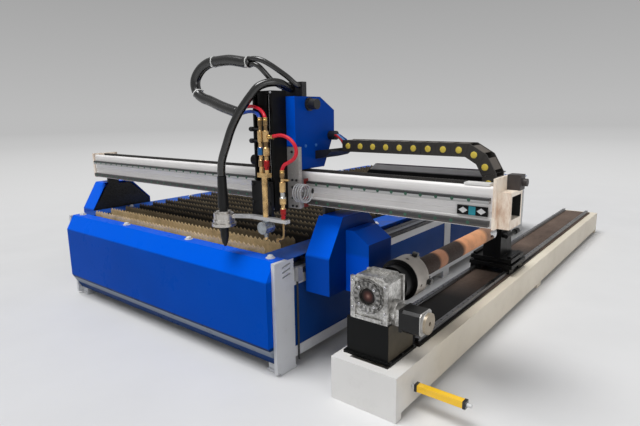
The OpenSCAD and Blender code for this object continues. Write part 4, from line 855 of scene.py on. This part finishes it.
red_route = [
    (-222, 94, 1118), (-196, 97, 1127), (-166, 100, 1133), (-136, 100, 1133), (-96, 92, 1123),
    (-60, 77, 1108), (-42, 68, 1094), (-37, 66, 1085), (-37, 66, 1077),
]
red_link_route = [
    (-22, 66, 1014), (-8, 66, 1014), (18, 66, 1018), (50, 66, 1020), (90, 65, 1008), (118, 63, 984),
    (126, 62, 958), (114, 62, 934), (86, 63, 918), (60, 65, 906), (48, 66, 890), (46, 66, 882), (46, 66, 873),
]
blue_route = [
    (-226, 94, 1100), (-200, 96, 1106), (-170, 99, 1112), (-139, 99, 1112), (-106, 89, 1105),
    (-82, 74, 1096), (-70, 67, 1089), (-67, 66, 1084), (-67, 66, 1077),
]


def hose(name, route, diameter, material):
    points = smooth_route([at(*p) for p in route])
    return tube(name, points, diameter / 2, material), points


bundle, bundle_points = hose("hose_bundle_sleeve", bundle_route, BUNDLE_D, hose_black)
low_strand, low_points = hose("low_strand", low_strand_route, STRAND_D, hose_black)
high_strand, high_points = hose("high_strand", high_strand_route, STRAND_D, hose_black)
lead, lead_points = hose("torch_lead_hose", lead_route, LEAD_D, hose_black)
red, red_points = hose("red_gas_hose", red_route, GAS_D, hose_red)
red_link, red_link_points = hose("red_link_hose", red_link_route, GAS_D, hose_red)
blue_hose, blue_points = hose("blue_gas_hose", blue_route, GAS_D, hose_blue)

TIE_SHARES = (0.012, 0.29, 0.58)
TIE_T, TIE_HALF, TIE_SEAT, TIE_SIDES = 0.002, 0.0025, 0.97, 24
LOCK_HALF, LOCK_HALF_H, LOCK_RISE = 0.004, 0.003, 0.001


def tie_on(points, share, radius):
    """White cable tie round a hose at a share of its length, with its lock."""
    i = max(1, min(len(points) - 2, round(share * (len(points) - 1))))
    p, ahead = points[i], (points[i + 1] - points[i - 1]).normalized()
    bm = bmesh.new()
    inner, outer = radius * TIE_SEAT, radius + TIE_T
    band = [(inner, -TIE_HALF), (outer, -TIE_HALF), (outer, TIE_HALF), (inner, TIE_HALF)]
    lathe_into(bm, band, p, ahead, TIE_SIDES)
    side = ahead.orthogonal().normalized()
    up = ahead.cross(side)
    head = p + side * (outer + LOCK_RISE)
    prism_into(bm, box_outline(-LOCK_HALF, LOCK_HALF, -LOCK_HALF, LOCK_HALF), -LOCK_HALF_H, LOCK_HALF_H,
               lambda u, v, w: head + ahead * u + up * v + side * w)
    return finish_bm(bm, f"tie_{round(share * 100)}_{round(radius * 1000)}", tie_white)


bundle_ties = [tie_on(bundle_points, share, BUNDLE_D / 2) for share in TIE_SHARES]
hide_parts("hose_bundle")
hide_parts("torch_lead")
for piece in (red, red_link, blue_hose):
    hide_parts("gas_hoses")
    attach(piece, "lifter")
for piece in (low_strand, high_strand):
    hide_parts("hose_bundle")
for piece in (bundle, low_strand, high_strand, *bundle_ties):
    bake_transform(piece)
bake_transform(lead)

# Coiled cord beside the carriage plate

COIL_TURNS, COIL_STEPS, COIL_R, COIL_PITCH, COIL_D = 4, 48, 36.0, 13.0, 6.0
COIL_X, COIL_Y, COIL_Z, COIL_SEAT = 15.0, 176.0, 779.0, 0.3
COIL_END = [(0, -0.002), (0.0045, -0.002), (0.0055, 0.004), (0.0055, 0.012), (0.004, 0.014), (0.004, 0.018),
            (0, 0.018)]
coil_points = [at(COIL_X + gap, COIL_Y + COIL_R, COIL_Z) for gap in (COIL_SEAT, COIL_D)]
for i in range(COIL_TURNS * COIL_STEPS + 1):
    a = 2 * math.pi * i / COIL_STEPS
    coil_points.append(at(COIL_X + 2 * COIL_D + COIL_PITCH * i / COIL_STEPS, COIL_Y + COIL_R * math.cos(a),
                          COIL_Z + COIL_R * math.sin(a)))
coil = tube("coiled_cord", coil_points, COIL_D / 2000, cord_white, sides=12)
bm = bmesh.new()
lathe_into(bm, COIL_END, coil_points[-1], (coil_points[-1] - coil_points[-2]).normalized())
coil_end = finish_bm(bm, "coiled_cord_end", gland_black)
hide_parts("coil_cord")
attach(coil, "carriage")
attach(coil_end, "carriage")

# Cable chain in two halves that part at the outside of its bend

CHAIN_X, CHAIN_Y, CHAIN_TOP, CHAIN_W, CHAIN_H, CHAIN_PITCH = 88.0, 412.0, 961.0, 88.0, 50.0, 63.0
CHAIN_UPPER, CHAIN_LINKS, CHAIN_STEP = 9, 24, 30.0
CHAIN_WALL, CHAIN_JOINT, CHAIN_EDGE, CAP_SIDES = 8, 0.2, 0.0012, 24
BAR_HALF, BAR_IN, BAR_OUT = 24, 5, 1
CAP_RIM = [(0.0165, 0), (0.0165, 0.0008), (0.0155, 0.0014), (0.0125, 0.0014)]
CAP_BUTTON = [(0.0125, 0), (0.0125, 0.0014), (0.0108, 0.0028), (0.006, 0.0036), (0, 0.0036)]
UP, FRONT, BACK, RIGHT, LEFT = (0, 0, 1), (0, -1, 0), (0, 1, 0), (1, 0, 0), (-1, 0, 0)


def chain_turn(i):
    """How far link i has turned round the bend, in degrees."""
    return 0.0 if i < CHAIN_UPPER else min(180.0, (i - CHAIN_UPPER + 1) * CHAIN_STEP)


pivots = [(CHAIN_X, CHAIN_TOP)]
for i in range(CHAIN_LINKS):
    a = math.radians(chain_turn(i))
    pivots.append((pivots[-1][0] + CHAIN_PITCH * math.cos(a), pivots[-1][1] - CHAIN_PITCH * math.sin(a)))


def link_outline(i):
    """Side plate of link i, mitred to its neighbours so that the chain looks like one band."""
    before = math.radians(chain_turn(i) - chain_turn(max(0, i - 1))) / 2
    after = math.radians(chain_turn(min(CHAIN_LINKS - 1, i + 1)) - chain_turn(i)) / 2
    half, h = CHAIN_PITCH / 2 - CHAIN_JOINT, CHAIN_H / 2
    low_a, high_a = -half + h * math.tan(before), -half - h * math.tan(before)
    low_b, high_b = half - h * math.tan(after), half + h * math.tan(after)
    return [(low_a, -h), (low_b, -h), (high_b, h), (high_a, h)]


def chain_half(name, first, last):
    """Links from first up to last: side plates with raised rims, cross bars, and round caps."""
    body, bars, caps = bmesh.new(), bmesh.new(), bmesh.new()
    y0, y1, h = CHAIN_Y, CHAIN_Y + CHAIN_W, CHAIN_H / 2
    for i in range(first, last):
        a = math.radians(chain_turn(i))
        outline = link_outline(i)
        cx, cz = (pivots[i][0] + pivots[i + 1][0]) / 2, (pivots[i][1] + pivots[i + 1][1]) / 2

        def place(u, v, w, cx=cx, cz=cz, a=a):
            return at(cx + u * math.cos(a) + v * math.sin(a), w, cz - u * math.sin(a) + v * math.cos(a))

        prism_into(body, outline, y0, y0 + CHAIN_WALL, place)
        prism_into(body, outline, y1 - CHAIN_WALL, y1, place)
        for v0, v1 in ((-h + BAR_OUT, -h + BAR_IN), (h - BAR_IN, h - BAR_OUT)):
            bar = box_outline(-BAR_HALF, BAR_HALF, v0, v1)
            prism_into(bars, bar, y0 + CHAIN_WALL, y1 - CHAIN_WALL, place)
        for y, axis in ((y0, FRONT), (y1, BACK)):
            lathe_into(body, CAP_RIM, place(0, 0, y), axis, CAP_SIDES)
            lathe_into(caps, CAP_BUTTON, place(0, 0, y), axis, CAP_SIDES)
    return (finish_bm(body, name, chain_black, bevel=CHAIN_EDGE), finish_bm(bars, name + "_bars", chain_bar),
            finish_bm(caps, name + "_caps", chain_cap))


MIDDLE = CHAIN_UPPER + 2
upper_half = chain_half("chain_upper", 0, MIDDLE)
lower_half = chain_half("chain_lower", MIDDLE, CHAIN_LINKS)
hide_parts("drag_chain")
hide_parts("drag_chain")
for piece in upper_half:
    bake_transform(piece)
for piece in lower_half:
    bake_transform(piece)

# Fasteners, plates and small fittings: profiles in metres, places in the construction

DOME = [(0.012, 0), (0.012, 0.0016), (0.0085, 0.002), (0.0085, 0.0045), (0.0065, 0.0075), (0.0035, 0.0088),
        (0, 0.0092)]
SOCKET = [(0.0055, 0), (0.0055, 0.0048), (0.005, 0.0054), (0.0028, 0.0054), (0.0028, 0.003), (0, 0.003)]
CAP = [(0.0062, 0), (0.0062, 0.0006), (0.0055, 0.001), (0, 0.001)]
KNOB = [(0, 0), (0.004, 0), (0.004, 0.034), (0.009, 0.035), (0.0098, 0.038), (0.0098, 0.049),
        (0.0085, 0.052), (0, 0.052)]
RAIL_HOLE_PITCH, BORDER_BOLT_PITCH, RING_BOLT_R = 60, 480, 46
TABLE_TOP, BED_TOP, BED_RAIL_TOP = 505, 189, 202.6
RING_FACE_Y, GEARBOX_FACE_Y, RAIL_FACE_Y, PLATE_FACE_Y = 104, 116, 236, 202
COLUMN_FACE_Y, LIFTER_FACE_Y, END_PLATE_X, COVER_SIDE_X = 120, 96, -1780, 0
VALVE_X, VALVE_Y, COVER_BOLT_Y = -72, 66, 84


def spots(axis, xs, ys, zs):
    """Places of fasteners that all stand along one axis."""
    return [(at(x, y, z), axis) for x in xs for y in ys for z in zs]


def fasteners(name, body, material, profile, places, segments, scale=1.0):
    bm = bmesh.new()
    shape = [(r * scale, h * scale) for r, h in profile]
    for place, axis in places:
        lathe_into(bm, shape, place, axis, segments)
    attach(finish_bm(bm, name, material), body)


ring_bolts = []
for k in range(4):
    a = math.pi * (0.25 + 0.5 * k)
    x, z = PIPE_X + RING_BOLT_R * math.cos(a), PIPE_Z + RING_BOLT_R * math.sin(a)
    ring_bolts.append((at(x, RING_FACE_Y, z), FRONT))
fasteners("cover_bolts", "table", bolt_white, DOME,
          spots(UP, (-1650, -1159, -605, -52), [COVER_BOLT_Y], [TABLE_TOP]), 24, 1.7)
fasteners("border_bolts", "table", bolt_white, DOME,
          spots(UP, (-40, -1660), range(420, 3300, BORDER_BOLT_PITCH), [TABLE_TOP]), 24, 1.3)
fasteners("bed_bolts", "table", bolt_dark, SOCKET, spots(UP, (315, 515), (120, 210, 300), [BED_TOP]), 12, 0.8)
fasteners("bed_rail_bolts", "table", bolt_dark, CAP,
          spots(UP, (323, 507), range(390, 3560, RAIL_HOLE_PITCH), [BED_RAIL_TOP]), 10, 0.8)
fasteners("gearbox_bolts", "table", bright, SOCKET,
          ring_bolts + spots(FRONT, (348, 492), [GEARBOX_FACE_Y], (375, 480)), 12)
fasteners("rail_caps", "gantry", cap_green, CAP,
          spots(FRONT, range(-1720, 800, RAIL_HOLE_PITCH), [RAIL_FACE_Y], (732, 810)), 14)
fasteners("end_plate_bolts", "gantry", bolt_dark, SOCKET,
          spots(LEFT, [END_PLATE_X], (268, 388), (734, 780, 846)), 12)
fasteners("plate_bolts", "carriage", bolt_dark, SOCKET,
          spots(FRONT, (-168, -20, 2), [PLATE_FACE_Y], (715, 750, 795, 826, 945)), 12)
fasteners("cover_rivets", "carriage", rivet_blue, DOME,
          spots(RIGHT, [COVER_SIDE_X], (268, 338), [966]), 16, 0.6)
fasteners("column_bolts", "carriage", bright, SOCKET,
          spots(FRONT, (-153, -55), [COLUMN_FACE_Y], (710, 1188)), 12, 0.9)
fasteners("lifter_bolts", "lifter", bolt_dark, SOCKET,
          spots(FRONT, (-150, -58), [LIFTER_FACE_Y], (735, 812)), 12, 1.1)
fasteners("valve_knobs", "lifter", gland_black, KNOB,
          spots(LEFT, [VALVE_X], [VALVE_Y], (996, 1043)), 14)

FERRULE_L, LINK_FERRULE_L, FERRULE_T, WAIST_T, FERRULE_SEAT = 0.012, 0.026, 0.0022, 0.0012, 0.9


def ferrule(bm, points, radius, length):
    """Crimped sleeve round the first points of a hose."""
    inner, outer, waist = radius * FERRULE_SEAT, radius + FERRULE_T, radius + WAIST_T
    profile = [(inner, 0), (outer, 0), (outer, 0.3 * length), (waist, 0.4 * length), (waist, 0.6 * length),
               (outer, 0.7 * length), (outer, length), (inner, length)]
    lathe_into(bm, profile, points[0], (points[1] - points[0]).normalized())


bm = bmesh.new()
ferrule(bm, red_link_points, GAS_D / 2, LINK_FERRULE_L)
for points in (red_link_points, red_points, blue_points):
    ferrule(bm, list(reversed(points)), GAS_D / 2, FERRULE_L)
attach(finish_bm(bm, "hose_ferrules", brass), "lifter")

# Direction plate on the beam: two arrow marks and a plain coloured field between them

SIGN_MARK_Y, SIGN_FACE_Y, SIGN_BACK_Y, SIGN_MID_Z, SIGN_EDGE = 249.2, 250.0, 254.0, 771, 0.0006
SIGN_X, SIGN_Z, MARK_X, MARK_Z = (694, 802), (755, 787), (736, 760), (756, 786)
ARROW = [(0, 0), (16, 11), (32, 0), (16, -11)]
ARROW_TIPS = [(700, 1), (796, -1)]


def on_beam(u, v, w):
    return at(u, w, v)


bm = bmesh.new()
prism_into(bm, box_outline(*SIGN_X, *SIGN_Z), SIGN_FACE_Y, SIGN_BACK_Y, on_beam)
sign = finish_bm(bm, "direction_plate", sign_black, bevel=SIGN_EDGE)
bm = bmesh.new()
for tip_x, way in ARROW_TIPS:
    outline = [(tip_x + way * u, SIGN_MID_Z + v) for u, v in ARROW]
    prism_into(bm, outline, SIGN_MARK_Y, SIGN_FACE_Y, on_beam)
arrows = finish_bm(bm, "direction_arrows", sign_white)
bm = bmesh.new()
prism_into(bm, box_outline(*MARK_X, *MARK_Z), SIGN_MARK_Y, SIGN_FACE_Y, on_beam)
mark = finish_bm(bm, "direction_mark", sign_teal)
for piece in (sign, arrows, mark):
    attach(piece, "gantry")

# Floor, backdrop and light

HORIZON, ZENITH, HORIZON_RISE = 0.5, 0.375, 0.2
SKY, SKY_STRENGTH = (0.86, 0.87, 0.9, 1), 0.3
FLOOR_SIZE, FLOOR_DROP = 90, -0.0005
FADE_DISTANCE, HAZE_DISTANCE = (2.8, 6), (3, 33)

bm = bmesh.new()
bmesh.ops.create_grid(bm, x_segments=1, y_segments=1, size=FLOOR_SIZE)
floor_mesh = bpy.data.meshes.new("floor")
bm.to_mesh(floor_mesh)
bm.free()
floor = Shader("floor_pale")
floor.colour(floor.ramp(floor.noise(2.2, 3), [(0.3, grey(0.7)), (0.7, grey(0.73))]))
floor.fixed(Roughness=0.8)
away = floor.node("ShaderNodeVectorMath", operation="LENGTH")
floor.link(floor.coords.outputs["Object"], away.inputs[0])
haze = floor.node("ShaderNodeEmission")
floor.link(floor.ramp(floor.span(away.outputs["Value"], *HAZE_DISTANCE, 0, 1), [
    (0.0, grey(0.73)), (0.2, grey(0.66)), (0.5, grey(0.56)), (1.0, grey(HORIZON)),
]), haze.inputs["Color"])
fade = floor.node("ShaderNodeMixShader")
floor.link(floor.span(away.outputs["Value"], *FADE_DISTANCE, 0, 1), fade.inputs[0])
floor.link(floor.bsdf.outputs[0], fade.inputs[1])
floor.link(haze.outputs[0], fade.inputs[2])
floor.link(fade.outputs[0], floor.tree.nodes["Material Output"].inputs["Surface"])
floor_obj = new_object("floor", floor_mesh, floor.material)
floor_obj.location = (0, 0, FLOOR_DROP)

world = bpy.data.worlds.new("studio")
bpy.context.scene.world = world
world.use_nodes = True
tree = world.node_tree
join = tree.links.new
background = tree.nodes["Background"]
background.inputs["Color"].default_value = SKY
background.inputs["Strength"].default_value = SKY_STRENGTH
seen = tree.nodes.new("ShaderNodeBackground")
coords = tree.nodes.new("ShaderNodeTexCoord")
axes = tree.nodes.new("ShaderNodeSeparateXYZ")
join(coords.outputs["Generated"], axes.inputs[0])
rise = tree.nodes.new("ShaderNodeMapRange")
rise.inputs["From Max"].default_value = HORIZON_RISE
join(axes.outputs[Z], rise.inputs["Value"])
shade = tree.nodes.new("ShaderNodeValToRGB")
shade.color_ramp.elements[0].color = (*grey(HORIZON), 1)
shade.color_ramp.elements[1].color = (*grey(ZENITH), 1)
join(rise.outputs["Result"], shade.inputs["Fac"])
join(shade.outputs["Color"], seen.inputs["Color"])
path = tree.nodes.new("ShaderNodeLightPath")
shown = path.outputs["Is Camera Ray"]
for ray in ("Is Glossy Ray", "Is Transmission Ray"):
    either = tree.nodes.new("ShaderNodeMath")
    either.operation = "MAXIMUM"
    join(shown, either.inputs[0])
    join(path.outputs[ray], either.inputs[1])
    shown = either.outputs[0]
choose = tree.nodes.new("ShaderNodeMixShader")
join(shown, choose.inputs[0])
join(background.outputs[0], choose.inputs[1])
join(seen.outputs[0], choose.inputs[2])
join(choose.outputs[0], tree.nodes["World Output"].inputs["Surface"])


def lamp(name, kind, aim, place, **settings):
    data = bpy.data.lights.new(name, kind)
    for key, value in settings.items():
        setattr(data, key, value)
    obj = bpy.data.objects.new(name, data)
    bpy.context.scene.collection.objects.link(obj)
    obj.location = place
    obj.rotation_euler = Vector(aim).to_track_quat("-Z", "Y").to_euler()


KEY_AIM, KEY_STRENGTH, KEY_ANGLE = (0.17, 0.3, -0.94), 2.35, math.radians(32)
FILL_PLACE, FILL_TARGET = Vector((5.0, -3.0, 2.6)), Vector((0.6, -0.8, 0.5))
FILL_WIDTH, FILL_HEIGHT, FILL_WATTS = 3.0, 2.5, 40
lamp("key", "SUN", KEY_AIM, (0, 0, 0), energy=KEY_STRENGTH, angle=KEY_ANGLE)
lamp("fill", "AREA", FILL_TARGET - FILL_PLACE, FILL_PLACE, shape="RECTANGLE", size=FILL_WIDTH,
     size_y=FILL_HEIGHT, energy=FILL_WATTS)
bpy.context.scene.view_settings.view_transform = "Standard"
